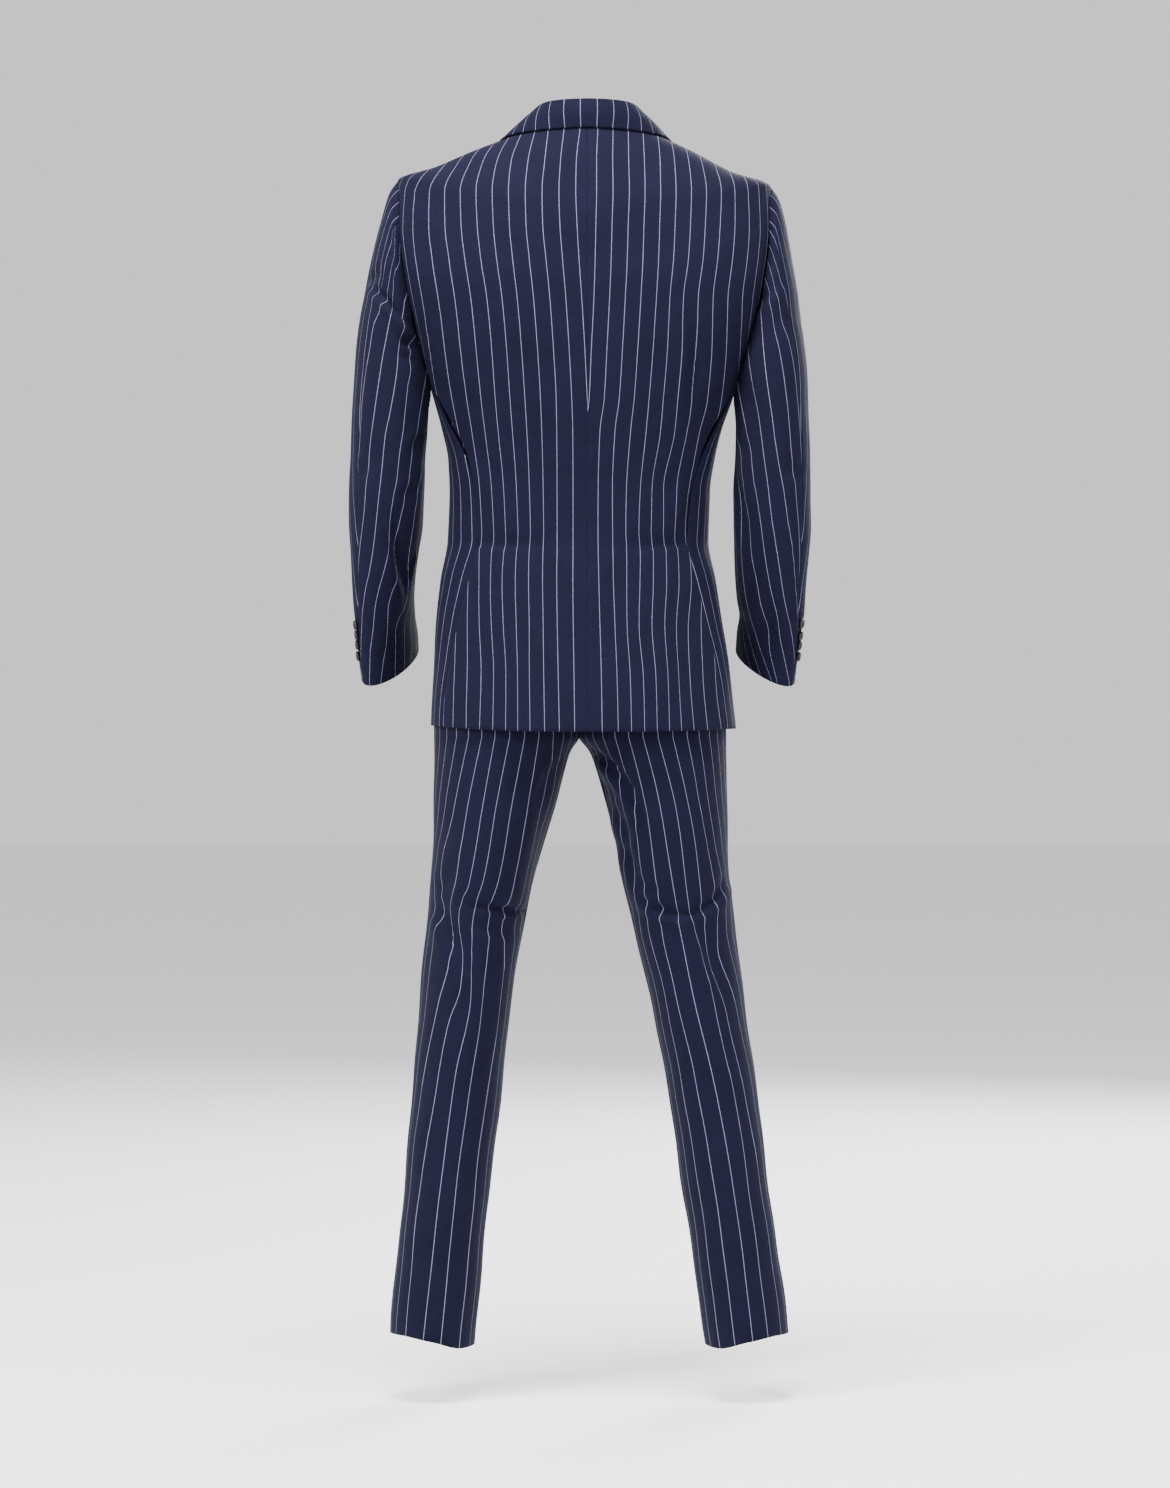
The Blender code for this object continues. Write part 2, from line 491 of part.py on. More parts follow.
def lapel(side, name):
    """Lapel turned back over the forepart, from the gorge to the top button."""
    run = np.linspace(0, 1, 12)
    share = np.linspace(0, 1, 7)
    inner_x, inner_level, outer_x, outer_level = (
        read(LAPEL, key, run, "run")[:, None]
        for key in ("inner_x", "inner_level", "outer_x", "outer_level"))
    x = inner_x + (outer_x - inner_x) * share
    level = inner_level + (outer_level - inner_level) * share
    notch = NOTCH_DROP * np.exp(-((share - GORGE_SHARE) / 0.3) ** 2) * (share > 0)
    level = level + notch * (1 - smooth_step(run, 0, 0.25))[:, None]
    azimuth = azimuth_at(x, level) * side
    return torso_wall(name, azimuth, level, 0.0, LAPEL_WALL, lift=LIE + LAPEL_WALL)


def collar_grid(runs, shares):
    """Outer face of the collar: runs go round the neck, shares from the fold to the edge."""
    side, run = np.where(runs < 0, -1.0, 1.0), np.abs(runs)
    around = {key: read(COLLAR, key, run, "run") for key in COLLAR if key != "run"}
    angle = np.radians(around["fold_azimuth"])
    fold = np.stack((np.sin(angle) * around["fold_reach"] * side,
                     np.cos(angle) * around["fold_reach"], around["fold_z"]), axis=-1)
    rim_azimuth = around["edge_azimuth"] * side
    edge = torso(rim_azimuth, around["edge_level"])
    edge = edge + torso_normal(rim_azimuth, around["edge_level"]) * (LIE + COLLAR_WALL)
    outward = unit(fold * np.array([1.0, 1.0, 0.0]) + np.array([0, 0, 0.045]))
    share = shares[:, None, None]
    free = fold + (edge - fold) * share + outward * COLLAR_CROWN * np.sin(np.pi * share)
    edge_x, fold_x = np.abs(edge[:, 0]), np.abs(fold[:, 0]) - 0.001
    x = fold_x + (edge_x - fold_x) * shares[:, None]
    fold_level = around["edge_level"][-1] + 0.002
    level = fold_level + (around["edge_level"] - fold_level) * shares[:, None]
    level = level + GORGE_BEND * np.sin(np.pi * np.clip(shares, 0, 1))[:, None] ** 2
    azimuth = azimuth_at(np.minimum(x, 0.14), level) * side
    lying = torso(azimuth, level) + torso_normal(azimuth, level) * (1.6 * LIE + COLLAR_WALL)
    settle = smooth_step(run, 0.86, 1.0)[None, :, None]
    return free * (1 - settle) + lying * settle, outward


def grid_normals(points, closed=False):
    """Normals of a grid from its own points; a closed grid joins its first and last column."""
    if closed:
        across = np.roll(points, -1, axis=1) - np.roll(points, 1, axis=1)
    else:
        across = np.gradient(points, axis=1)
    return unit(np.cross(across, np.gradient(points, axis=0)))


def collar_fall(name):
    """Outer collar: turns over the fold and falls on the back neck and the shoulders."""
    points, outward = collar_grid(np.linspace(-1, 1, 31), np.linspace(0, 1, 5))
    turned = points[:1] - outward * COLLAR_TURN_IN + np.array([0, 0, COLLAR_TURN_UP])
    points = np.concatenate((turned, points))
    normals = grid_normals(points)
    facing = np.sign(np.sum(normals * outward, axis=-1, keepdims=True))
    return wall(name, points, normals * facing, COLLAR_WALL)


def collar_stand(name):
    """Inner collar, from the neck seam up to just under the fold."""
    azimuth = np.linspace(-STAND_END, STAND_END, 21)
    foot = torso(azimuth, NECK_LEVEL) + np.array([0, 0, SEAM])
    angle = np.radians(azimuth)
    reach = read(COLLAR, "fold_reach", np.abs(azimuth), "fold_azimuth") - STAND_INSET
    height = read(COLLAR, "fold_z", np.abs(azimuth), "fold_azimuth") - STAND_DROP
    outward = np.stack((np.sin(angle), np.cos(angle), 0 * angle), axis=-1)
    top = outward * reach[:, None] + np.stack((0 * angle, 0 * angle, height), axis=-1)
    foot = foot - outward * STAND_FOOT_INSET
    points = np.array([top, (top + foot) / 2 - outward * STAND_HOLLOW, foot])
    return wall(name, points, np.broadcast_to(outward, points.shape), STAND_WALL)


def sleeve_rings(table, side):
    """Closed rings of a sleeve's outer face, from the armhole to the cuff."""
    count = len(table["y"])
    back_part = np.linspace(0, 1, ARM_STEPS + 1)
    turns = []
    for seam in table["seam"]:
        top = SLEEVE_SEAM_FRONT + (seam - SLEEVE_SEAM_FRONT) * back_part
        under = seam + (SLEEVE_SEAM_FRONT + 360 - seam) * back_part[1:-1]
        turns.append(np.concatenate((top, under)))
    turn = np.radians(np.array(turns))
    half = (table["outer_x"] - table["inner_x"])[:, None] / 2
    rise = (table["outer_z"] - table["inner_z"])[:, None] / 2
    twist = np.radians(table["twist"])[:, None]
    depth = table["depth"][:, None]
    short = np.sqrt(half**2 - (depth * np.sin(twist)) ** 2) / np.cos(twist)
    out = short * np.cos(turn) * np.cos(twist) + depth * np.sin(turn) * np.sin(twist)
    aft = depth * np.sin(turn) * np.cos(twist) - short * np.cos(turn) * np.sin(twist)
    x = (table["outer_x"] + table["inner_x"])[:, None] / 2 + out
    z = ((table["outer_z"] + table["inner_z"])[:, None] / 2 + out / half * rise
         - table["tilt"][:, None] * aft - table["lean"][:, None] * out)
    points = np.stack((x * side, table["y"][:, None] + aft, z), axis=-1)
    hole_azimuth, hole_level = armhole(np.degrees(turn[0]))
    hole = torso(hole_azimuth * side, hole_level)
    hole = hole + torso_normal(hole_azimuth * side, hole_level) * 1.4 * SEAM
    offset = hole - points[0]
    fade = np.clip(1 - np.arange(count) / CAP_RINGS, 0, 1) ** 2
    return points + offset * fade[:, None, None]


def ring_panels(rings, splits, thickness, side):
    """Walls of a closed tube, parted at its seams; splits names each panel's columns."""
    normals = grid_normals(rings, closed=True) * side
    free = smooth_step(np.arange(len(rings)), 0, CAP_FREE)[:, None]
    rings = folded(rings, normals, free)
    tangent = unit(np.roll(rings, -1, axis=1) - np.roll(rings, 1, axis=1))
    total = rings.shape[1]
    for name, first, last in splits:
        cols = np.arange(first, last + 1) % total
        points, outward = rings[:, cols].copy(), normals[:, cols]
        points[:, 0] += tangent[:, cols[0]] * SEAM / 2
        points[:, -1] -= tangent[:, cols[-1]] * SEAM / 2
        wall(name, points, outward, thickness)


def button(name, centre, normal, radius, thickness, segments=14):
    """Horn button, a low disc with an eased edge, on its sewing face."""
    bm = bmesh.new()
    turn = Vector(normal).to_track_quat("Z", "Y").to_matrix().to_4x4()
    place = Matrix.Translation(Vector(centre)) @ turn @ Matrix.Translation((0, 0, thickness / 2))
    bmesh.ops.create_cone(bm, cap_ends=True, segments=segments, radius1=radius,
                          radius2=radius * BUTTON_TAPER, depth=thickness, matrix=place)
    return solid(name, bm, "dark_horn")


def sleeve(side, word, table):
    """Top sleeve, under sleeve and the four cuff buttons beside the elbow seam."""
    rings = sleeve_rings(table, side)
    ring_panels(rings, (("jacket_top_sleeve_" + word, 0, ARM_STEPS),
                        ("jacket_under_sleeve_" + word, ARM_STEPS, 2 * ARM_STEPS)),
                SLEEVE_WALL, -side)
    normals = grid_normals(rings, closed=True) * -side
    line = (rings[:, ARM_STEPS - 1] * (1 - CUFF_BUTTON_SHARE)
            + rings[:, ARM_STEPS] * CUFF_BUTTON_SHARE)
    facing = unit(normals[:, ARM_STEPS - 1] + normals[:, ARM_STEPS])
    flat = unit(rings[:, ARM_STEPS] - rings[:, ARM_STEPS - 1])
    facing = unit(facing - flat * np.sum(facing * flat, axis=-1, keepdims=True))
    height = line[:, 2]
    for number in range(4):
        z = CUFF_LOWEST_BUTTON + number * CUFF_BUTTON_PITCH
        spot = [np.interp(-z, -height, line[:, k]) for k in range(3)]
        way = [np.interp(-z, -height, facing[:, k]) for k in range(3)]
        centre = np.array(spot) + np.array(way) * CUFF_BUTTON_SHANK
        button(f"jacket_cuff_button_{word}_{number + 1}", centre, way, CUFF_BUTTON_RADIUS,
               BUTTON_THICKNESS, segments=10)


def jacket_pockets():
    """Two hip flaps and the breast welt, each lying on its forepart."""
    for side, word in ((1, "left"), (-1, "right")):
        azimuth = np.linspace(FLAP_FRONT, FLAP_BACK, 9)[None, :] * np.ones((4, 1))
        level = np.linspace(FLAP_TOP, FLAP_TOP + FLAP_HEIGHT, 4)[:, None] + 0 * azimuth
        torso_wall("jacket_flap_" + word, azimuth * side, level, 0.0, FLAP_WALL,
                   lift=LIE + FLAP_WALL)
    x = np.linspace(*WELT_ENDS, 6)[None, :] * np.ones((3, 1))
    down = np.linspace(0.0, WELT_HEIGHT, 3)[:, None]
    level = WELT_LEVEL + down - WELT_SLOPE * (x - WELT_ENDS[0])
    torso_wall("jacket_breast_welt", azimuth_at(x, level), level, 0.0, WELT_WALL,
               lift=LIE + WELT_WALL)


def front_buttons(name, levels, insets, radius):
    """Buttons down the centre line of a front, on its outer face."""
    for number, (level, inset) in enumerate(zip(levels, insets)):
        azimuth = azimuth_at(0.0, level)
        normal = torso_normal(azimuth, level)
        centre = torso(azimuth, level) + normal * (1.5 * SEAM - inset)
        button(f"{name}_{number + 1}", centre, normal, radius, BUTTON_THICKNESS)


def waistcoat_armhole(share, face):
    """Azimuth and level of the waistcoat's armhole, from its shoulder tip to its side seam."""
    angle = math.pi * np.asarray(share)
    level = WAISTCOAT_TIP + (WAISTCOAT_UNDERARM - WAISTCOAT_TIP) * (1 - np.cos(angle)) / 2
    reach = WAISTCOAT_ARMHOLE_BACK if face > 0 else WAISTCOAT_ARMHOLE_FRONT
    return 90.0 - face * reach * np.sin(angle) ** 0.8, level


def waistcoat_rows(face):
    """Levels and outer-edge azimuths of a waistcoat panel."""
    shoulder = np.linspace(WAISTCOAT_NECK, WAISTCOAT_TIP, 4)[:-1]
    edge, level = waistcoat_armhole(np.linspace(0, 1, 9), face)
    lower = np.array([0.375, 0.420, 0.460, 0.490, WAISTCOAT_HEM])
    return (np.concatenate((shoulder, level, lower)),
            np.concatenate((np.full(len(shoulder), 90.0), edge, np.full(len(lower), 90.0))))


def front_ease(azimuth, level):
    """1 at the centre front, where the layers under the jacket stand further in, else 0."""
    off = np.abs(np.abs(azimuth) - 180.0)
    return (1 - smooth_step(off, 9.0, 34.0)) * smooth_step(level, 0.20, 0.27)


def waistcoat_inset(azimuth, level):
    """Gap between the waistcoat's outer face and the jacket's."""
    return read(WAISTCOAT_INSET, "inset", level) + WAISTCOAT_EASE * front_ease(azimuth, level)


def waistcoat_wall(name, azimuth, level, extra):
    """Wall of the waistcoat under the jacket's form."""
    inset = waistcoat_inset(azimuth, level) + extra
    return torso_wall(name, azimuth, level, inset, WAISTCOAT_WALL)


def waistcoat():
    """Two half backs, two foreparts and the five buttons."""
    levels, edge = waistcoat_rows(1)
    level = np.repeat(levels[:, None], 9, axis=1)
    for side, word in ((1, "left"), (-1, "right")):
        azimuth = parted(spread(np.zeros_like(edge), edge, 9) * side, level)
        waistcoat_wall("waistcoat_back_" + word, azimuth, level, 0.0)
    levels, edge = waistcoat_rows(-1)
    level = np.repeat(levels[:, None], 8, axis=1)
    share = np.linspace(0, 1, 8)
    drop = smooth_step(level, 0.36, WAISTCOAT_HEM) * (WAISTCOAT_POINT - WAISTCOAT_HEM)
    level = level + drop * smooth_step(share, 0.25, 0.95)
    for side, word in ((1, "left"), (-1, "right")):
        front = azimuth_at(read(WAISTCOAT_EDGE, "x", level[:, -1]), level[:, -1])
        azimuth = spread(edge, front, 8) * side
        azimuth = parted(azimuth, level, (True, False))
        x = torso(azimuth, level)[..., 0]
        under = (1 - smooth_step(np.abs(x), 0.016, 0.050)) * smooth_step(level, 0.20, 0.26)
        waistcoat_wall("waistcoat_front_" + word, azimuth, level,
                       under * (WAISTCOAT_WALL + LIE if side < 0 else 0.0))
    front_buttons("waistcoat_button", WAISTCOAT_BUTTON_LEVELS,
                  waistcoat_inset(180.0, WAISTCOAT_BUTTON_LEVELS), WAISTCOAT_BUTTON_RADIUS)


def hip_point(azimuth, level):
    """Outer face of the trousers round the hips, under the jacket's form."""
    lean = (1 + np.sin(np.radians(azimuth))) / 2
    inset = read(HIP_INSET, "left", level) * lean + read(HIP_INSET, "right", level) * (1 - lean)
    inset = inset + TROUSER_EASE * front_ease(azimuth, level)
    return torso(azimuth, level) - torso_normal(azimuth, level) * inset[..., None]


def leg_panels(side, word):
    """Back and front grids of one leg with their normals, from the waistband to the hem.

    Above the fork a panel runs from the side seam to the centre seam, and below it to the
    inside leg seam, so its inner edge draws the seat's curve between the two.
    """
    share = np.linspace(0, 1, LEG_STEPS + 1)
    drop = np.concatenate((HIP_LEVELS, LEGS["drop"]))[:, None]
    own = np.maximum(drop, FORK_LEVEL)
    outer, inner = (read(LEGS, word + end, own, "drop") for end in ("_out", "_in"))
    parting = smooth_step(drop, FORK_BLEND, FORK_LEVEL)[..., None]
    grids = []
    for face, turn, around in (("back", 90 - 180 * share, 90 - 90 * share),
                               ("front", 270 - 180 * share, 180 - 90 * share)):
        angle = np.radians(turn)[None, :]
        x = (outer + inner) / 2 + (outer - inner) / 2 * np.sin(angle)
        y = read(LEGS, face, own, "drop") * np.cos(angle)
        lift = read(HEM_LIFT, "lift", turn, "angle")[None, :] * smooth_step(drop, 1.30, HEM_DROP)
        leg = np.stack((x, y, lift - drop), axis=-1)
        level = np.minimum(drop, FORK_LEVEL) + 0 * x
        hip = hip_point(np.broadcast_to(around * side, level.shape), level)
        grids.append(hip * (1 - parting) + leg * parting)
    back, front = grids
    across_centre = np.array([-1.0, 1.0, 1.0])

    def beyond(own_near, own_edge, other_near):
        mirrored = (own_near - own_edge) * across_centre + own_edge
        return mirrored * (1 - parting) + other_near * parting

    back_wide = np.concatenate(
        (front[:, -2:-1], back, beyond(back[:, -2:-1], back[:, -1:], front[:, 1:2])), axis=1)
    front_wide = np.concatenate(
        (beyond(front[:, 1:2], front[:, :1], back[:, -2:-1]), front, back[:, 1:2]), axis=1)
    made = []
    for wide in (back_wide, front_wide):
        normals = grid_normals(wide)[:, 1:-1] * -side
        points = wide[:, 1:-1].copy()
        points[:, 0] += unit(wide[:, 2] - wide[:, 0]) * SEAM / 2
        points[:, -1] -= unit(wide[:, -1] - wide[:, -3]) * SEAM / 2
        made.append((folded(points, normals), normals))
    return made


def trousers():
    """Four leg panels, the waistband with its button, and the fly."""
    for side, word in ((1, "left"), (-1, "right")):
        for face, (points, normals) in zip(("back", "front"), leg_panels(side, word)):
            wall(f"trousers_{face}_{word}", points, normals, TROUSER_WALL)
    azimuth = np.linspace(-179.6, 179.6, 37)[None, :] * np.ones((2, 1))
    level = np.array([[WAISTBAND_TOP], [WAISTBAND_FOOT - SEAM]]) * np.ones((1, 37))
    normals = torso_normal(azimuth, level)
    wall("trousers_waistband", hip_point(azimuth, level), normals, WAISTBAND_WALL)
    level = np.linspace(WAISTBAND_FOOT + 2 * SEAM, FLY_FOOT, 7)[:, None] * np.ones((1, 4))
    azimuth = azimuth_at(np.linspace(FLY_WIDTH, -FLY_LAP, 4)[None, :], np.full_like(level, 0.6))
    normals = torso_normal(azimuth, level)
    wall("trousers_fly", hip_point(azimuth, level) + normals * (LIE + FLY_WALL), normals,
         FLY_WALL)
    level = (WAISTBAND_TOP + WAISTBAND_FOOT) / 2
    azimuth = azimuth_at(FLY_LAP, level)
    normal = torso_normal(azimuth, level)
    button("trousers_waistband_button", hip_point(azimuth, level) + normal * 2 * SEAM, normal,
           WAISTBAND_BUTTON_RADIUS, WAISTBAND_BUTTON_THICKNESS)


def main():
    for old in list(bpy.data.objects):
        bpy.data.objects.remove(old)
    for side, word, table in ((1, "left", SLEEVE_LEFT), (-1, "right", SLEEVE_RIGHT)):
        jacket_back(side, "jacket_back_" + word)
        jacket_side(side, "jacket_side_" + word)
        jacket_front(side, "jacket_front_" + word)
        lapel(side, "jacket_lapel_" + word)
        sleeve(side, word, table)
    collar_fall("jacket_collar")
    collar_stand("jacket_collar_stand")
    jacket_pockets()
    front_buttons("jacket_button", JACKET_BUTTON_LEVELS, (0.0, 0.0), BUTTON_RADIUS)
    waistcoat()
    trousers()


main()
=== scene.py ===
"""Three-piece suit in navy pinstripe wool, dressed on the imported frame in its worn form."""
import math

import bmesh
import bpy
import numpy as np
from mathutils import Matrix, Vector


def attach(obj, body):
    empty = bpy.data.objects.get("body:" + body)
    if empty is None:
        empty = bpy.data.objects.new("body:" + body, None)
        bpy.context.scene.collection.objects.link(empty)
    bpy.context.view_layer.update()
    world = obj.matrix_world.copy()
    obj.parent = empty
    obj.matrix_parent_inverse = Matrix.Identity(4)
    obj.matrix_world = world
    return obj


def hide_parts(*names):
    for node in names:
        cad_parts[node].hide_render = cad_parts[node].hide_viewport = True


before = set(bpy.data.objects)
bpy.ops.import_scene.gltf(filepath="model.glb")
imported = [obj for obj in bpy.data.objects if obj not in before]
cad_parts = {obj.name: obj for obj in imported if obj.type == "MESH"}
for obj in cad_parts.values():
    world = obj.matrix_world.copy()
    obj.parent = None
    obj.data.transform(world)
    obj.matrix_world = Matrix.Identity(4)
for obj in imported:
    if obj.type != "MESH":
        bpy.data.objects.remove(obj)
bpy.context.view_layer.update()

# Setting: the suit is seen from behind, from 5.5 m away at waist height, in a white studio.
# A long lens, a pale paper floor and large softboxes above, behind the camera and at the sides.
CAMERA_AT = (0.0031, 5.5, -0.752)
camera_data = bpy.data.cameras.new("camera")
camera_data.lens = 107.8
camera_data.sensor_width = 36.0
camera = bpy.data.objects.new("camera", camera_data)
camera.location = CAMERA_AT
camera.rotation_euler = (math.pi / 2, 0.0, math.pi)
bpy.context.scene.collection.objects.link(camera)
bpy.context.scene.camera = camera


def linear(hexa):
    """Linear colour of an sRGB hex value."""
    parts = [int(hexa[k:k + 2], 16) / 255 for k in (1, 3, 5)]
    return tuple(p / 12.92 if p <= 0.04045 else ((p + 0.055) / 1.055) ** 2.4
                 for p in parts) + (1.0,)


def add_node(tree, kind, inputs=(), **settings):
    """Node with its settings and what goes into its sockets: values, or other sockets."""
    made = tree.nodes.new(kind)
    for key, value in settings.items():
        setattr(made, key, value)
    for key, value in dict(inputs).items():
        if isinstance(value, bpy.types.NodeSocket):
            tree.links.new(value, made.inputs[key])
        else:
            made.inputs[key].default_value = value
    return made


FLOOR_LEVEL = -1.560
paper = bpy.data.materials.new("studio_paper")
paper.use_nodes = True
paper_shader = paper.node_tree.nodes["Principled BSDF"]
paper_shader.inputs["Base Color"].default_value = linear("#F4F4F5")
paper_shader.inputs["Roughness"].default_value = 0.9
bm = bmesh.new()
bmesh.ops.create_grid(bm, x_segments=4, y_segments=4, size=30.0)
bmesh.ops.translate(bm, verts=bm.verts, vec=(0.0, 0.0, FLOOR_LEVEL))
floor_mesh = bpy.data.meshes.new("floor")
bm.to_mesh(floor_mesh)
bm.free()
floor_mesh.materials.append(paper)
floor = bpy.data.objects.new("floor", floor_mesh)
bpy.context.scene.collection.objects.link(floor)

world = bpy.data.worlds.new("studio")
world.use_nodes = True
world.node_tree.nodes["Background"].inputs["Color"].default_value = linear("#FFFFFF")
world.node_tree.nodes["Background"].inputs["Strength"].default_value = 0.95
bpy.context.scene.world = world
for name, place, size, power in (("softbox_camera_left", (2.8, 3.0, 1.4), 1.8, 300.0),
                                 ("softbox_camera_right", (-3.4, 2.4, 0.6), 1.8, 120.0),
                                 ("softbox_top", (0.2, 1.2, 2.6), 1.6, 330.0),
                                 ("softbox_front", (-1.6, -3.8, 1.2), 2.4, 330.0)):
    lamp = bpy.data.lights.new(name, "AREA")
    lamp.shape = "DISK"
    lamp.size = size
    lamp.energy = power
    holder = bpy.data.objects.new(name, lamp)
    holder.location = place
    aim = Vector((0.0, 0.0, -0.7)) - Vector(place)
    holder.rotation_euler = aim.to_track_quat("-Z", "Y").to_euler()
    bpy.context.scene.collection.objects.link(holder)

# Back of the jacket: two halves of worsted wool, joined in a seam down the centre back and cut
# so that the pinstripes run into that seam at the waist. Steam-shaped over the blades.
SIDES = (1, "left"), (-1, "right")
SEAM = 0.0003
# levels run down the body from the neck, in metres
NECK_LEVEL, TIP_LEVEL, UNDERARM_LEVEL, HEM_LEVEL = 0.0, 0.105, 0.300, 0.737
# how far the armhole reaches back and forward, and where the side body starts on it, in degrees
ARMHOLE_BACK, ARMHOLE_FRONT, SIDE_TURN = 15.0, 18.0, 126.0
JACKET_WALL = 0.0020
STRIPE_PITCH = 0.0195


def columns(text):
    """Columns of a table by name. The first line names them. They are in mm, or plain numbers
    where a star follows the name."""
    names, *rows = text.strip().splitlines()
    values = np.array([row.split() for row in rows], dtype=float).T
    return {name.rstrip("*"): column / (1 if name.endswith("*") else 1000)
            for name, column in zip(names.split(), values)}


def read(table, name, at, key="level"):
    """Value of a column at a station, on a smooth curve through the table's rows."""
    x, y = table[key], table[name]
    at = np.clip(at, x[0], x[-1])
    steep = np.diff(y) / np.diff(x)
    before, after = steep[:-1], steep[1:]
    same = before * after > 0
    middle = np.where(same, 2 * before * after / np.where(same, before + after, 1.0), 0.0)
    slope = np.concatenate((steep[:1], middle, steep[-1:]))
    i = np.clip(np.searchsorted(x, at, side="right") - 1, 0, len(x) - 2)
    span = x[i + 1] - x[i]
    t = (at - x[i]) / span
    return ((2 * t**3 - 3 * t**2 + 1) * y[i] + (t**3 - 2 * t**2 + t) * span * slope[i]
            + (3 * t**2 - 2 * t**3) * y[i + 1] + (t**3 - t**2) * span * slope[i + 1])


def unit(vectors):
    """Vectors of length one."""
    return vectors / np.maximum(np.linalg.norm(vectors, axis=-1, keepdims=True), 1e-12)


def smooth_step(value, low, high):
    """0 below low, 1 above high, with soft ends."""
    t = np.clip((value - low) / (high - low), 0.0, 1.0)
    return t * t * (3 - 2 * t)


# The body under the jacket's cloth: heights at the back, left, right and front of each ring,
# half widths, depths and squareness
TORSO = columns("""
    level z_back z_left z_right z_front left right back front square*
      0    4     3     2  -50    78    78    66  70  2.1
     35  -32   -18   -20  -75   133   126    86  92 2.12
     70  -70 -39.5 -45.5 -100   185   176   103 112 2.18
    105 -108   -58   -66 -125 235.2   227   115 128  2.3
    150 -152  -118  -124 -160 238.5   229   121 142  2.8
    200 -202  -178  -183 -205   230 220.5   126 150 3.25
    250 -251  -238  -241 -252 215.5 206.5 125.5 150 3.15
    300 -300  -300  -300 -300 197.5   188   121 147  2.9
    327 -327  -327  -327 -327   190   179   118 146  2.7
    365 -365  -365  -365 -365   180   165 113.5 144  2.5
    401 -401  -401  -401 -401 172.5 156.5   109 142 2.35
    440 -440  -440  -440 -440 171.2 150.8   105 139 2.25
    500 -500  -500  -500 -500 172.2   150 103.5 136 2.15
    550 -550  -550  -550 -550 181.2 158.3   110 139 2.15
    600 -600  -600  -600 -600 186.8   166   118 143  2.2
    650 -650  -650  -650 -650 189.8 173.7 126.5 147  2.3
    700 -700  -697  -698 -700 191.8 179.7   132 150  2.4
    737 -737  -729  -733 -735 192.5 182.8   134 152  2.4
    800 -800  -800  -800 -800   193   184   134 152  2.4""")
SIDE_SEAMS = columns("""
    level back* front*
    300 77 106
    400 66 108
    500 63 110
    600 66 111
    700 69 111
    800 70 111""")


def torso(azimuth, level):
    """Point of the jacket's outer face at an azimuth and a level."""
    azimuth, level = np.broadcast_arrays(np.asarray(azimuth, float), np.asarray(level, float))
    angle = np.radians(azimuth)
    east, north = np.sin(angle), np.cos(angle)
    half = np.where(east > 0, read(TORSO, "left", level), read(TORSO, "right", level))
    depth = np.where(north > 0, read(TORSO, "back", level), read(TORSO, "front", level))
    square = read(TORSO, "square", level)
    reach = ((np.abs(east) / half) ** square + (np.abs(north) / depth) ** square) ** (-1 / square)
    side = np.where(east > 0, read(TORSO, "z_left", level), read(TORSO, "z_right", level))
    end = np.where(north > 0, read(TORSO, "z_back", level), read(TORSO, "z_front", level))
    share = east**4
    return np.stack((east * reach, north * reach, side * share + end * (1 - share)), axis=-1)


def torso_normal(azimuth, level):
    """Outward normal of the jacket's outer face."""
    level = np.clip(level, TORSO["level"][0] + 0.002, TORSO["level"][-1] - 0.002)
    around = torso(azimuth + 0.5, level) - torso(azimuth - 0.5, level)
    down = torso(azimuth, level + 0.001) - torso(azimuth, level - 0.001)
    return unit(np.cross(around, down))


def on_torso(azimuth, level, lift=0.0):
    """Points over the jacket's outer face, and the outward normals there."""
    facing = torso_normal(azimuth, level)
    return torso(azimuth, level) + facing * np.asarray(lift)[..., None], facing


def azimuth_at(x, level):
    """Azimuth of the front point that lies at a distance x from the centre line."""
    x, level = np.broadcast_arrays(np.asarray(x, float), np.asarray(level, float))
    low, high = np.full(x.shape, 90.0), np.full(x.shape, 200.0)
    for _ in range(40):
        middle = (low + high) / 2
        nearer = torso(middle, level)[..., 0] > x
        low, high = np.where(nearer, middle, low), np.where(nearer, high, middle)
    return (low + high) / 2


def armhole(turn):
    """Azimuth and level of the armhole's edge; turn is 0 at the shoulder, 90 at the back."""
    angle = np.radians(turn)
    level = TIP_LEVEL + (UNDERARM_LEVEL - TIP_LEVEL) * (1 - np.cos(angle)) / 2
    reach = np.where(np.sin(angle) > 0, ARMHOLE_BACK, ARMHOLE_FRONT)
    return 90.0 - reach * np.sin(angle), level


def shares(count):
    """Shares across a panel, with extra columns close to both edges for the seams."""
    edge = np.array([0.0, 0.004, 0.010, 0.020])
    return np.concatenate((edge, np.linspace(0.036, 0.964, count), 1 - edge[::-1]))


# Large folds that the solids also have: a trough (negative depth) along a line on the back
# (face 1) or the front (face -1)
LARGE_FOLDS = columns("""
    face* x0 z0 x1 z1 width depth
     1  205  -232  272  -168 20   -6
     1  200  -285  236  -262 16   -5
     1  214  -560  236  -480 14 -4.5
     1 -215  -250 -252  -225 16   -4
     1  160  -507   30  -510 13   -3
     1 -140  -507  -30  -512 13   -3
     1  130  -955   72  -964 16   -5
     1  180  -905  172  -980 18   -4
     1  -10  -785  -58  -838 16 -4.5
     1  -68  -955 -132  -945 16 -4.5
    -1  205  -235  255  -190 20   -5
    -1 -200  -235 -245  -195 20   -5
    -1   80  -800  150  -775 18 -4.5
    -1  -70  -800 -140  -778 18 -4.5
    -1  110 -1030  170 -1045 20   -4
    -1 -100 -1035 -160 -1050 20   -4""")


# folds fade towards both ends of their line, and stay this far from the side of the body
FOLD_END, FOLD_SIDE = 0.12, 0.004


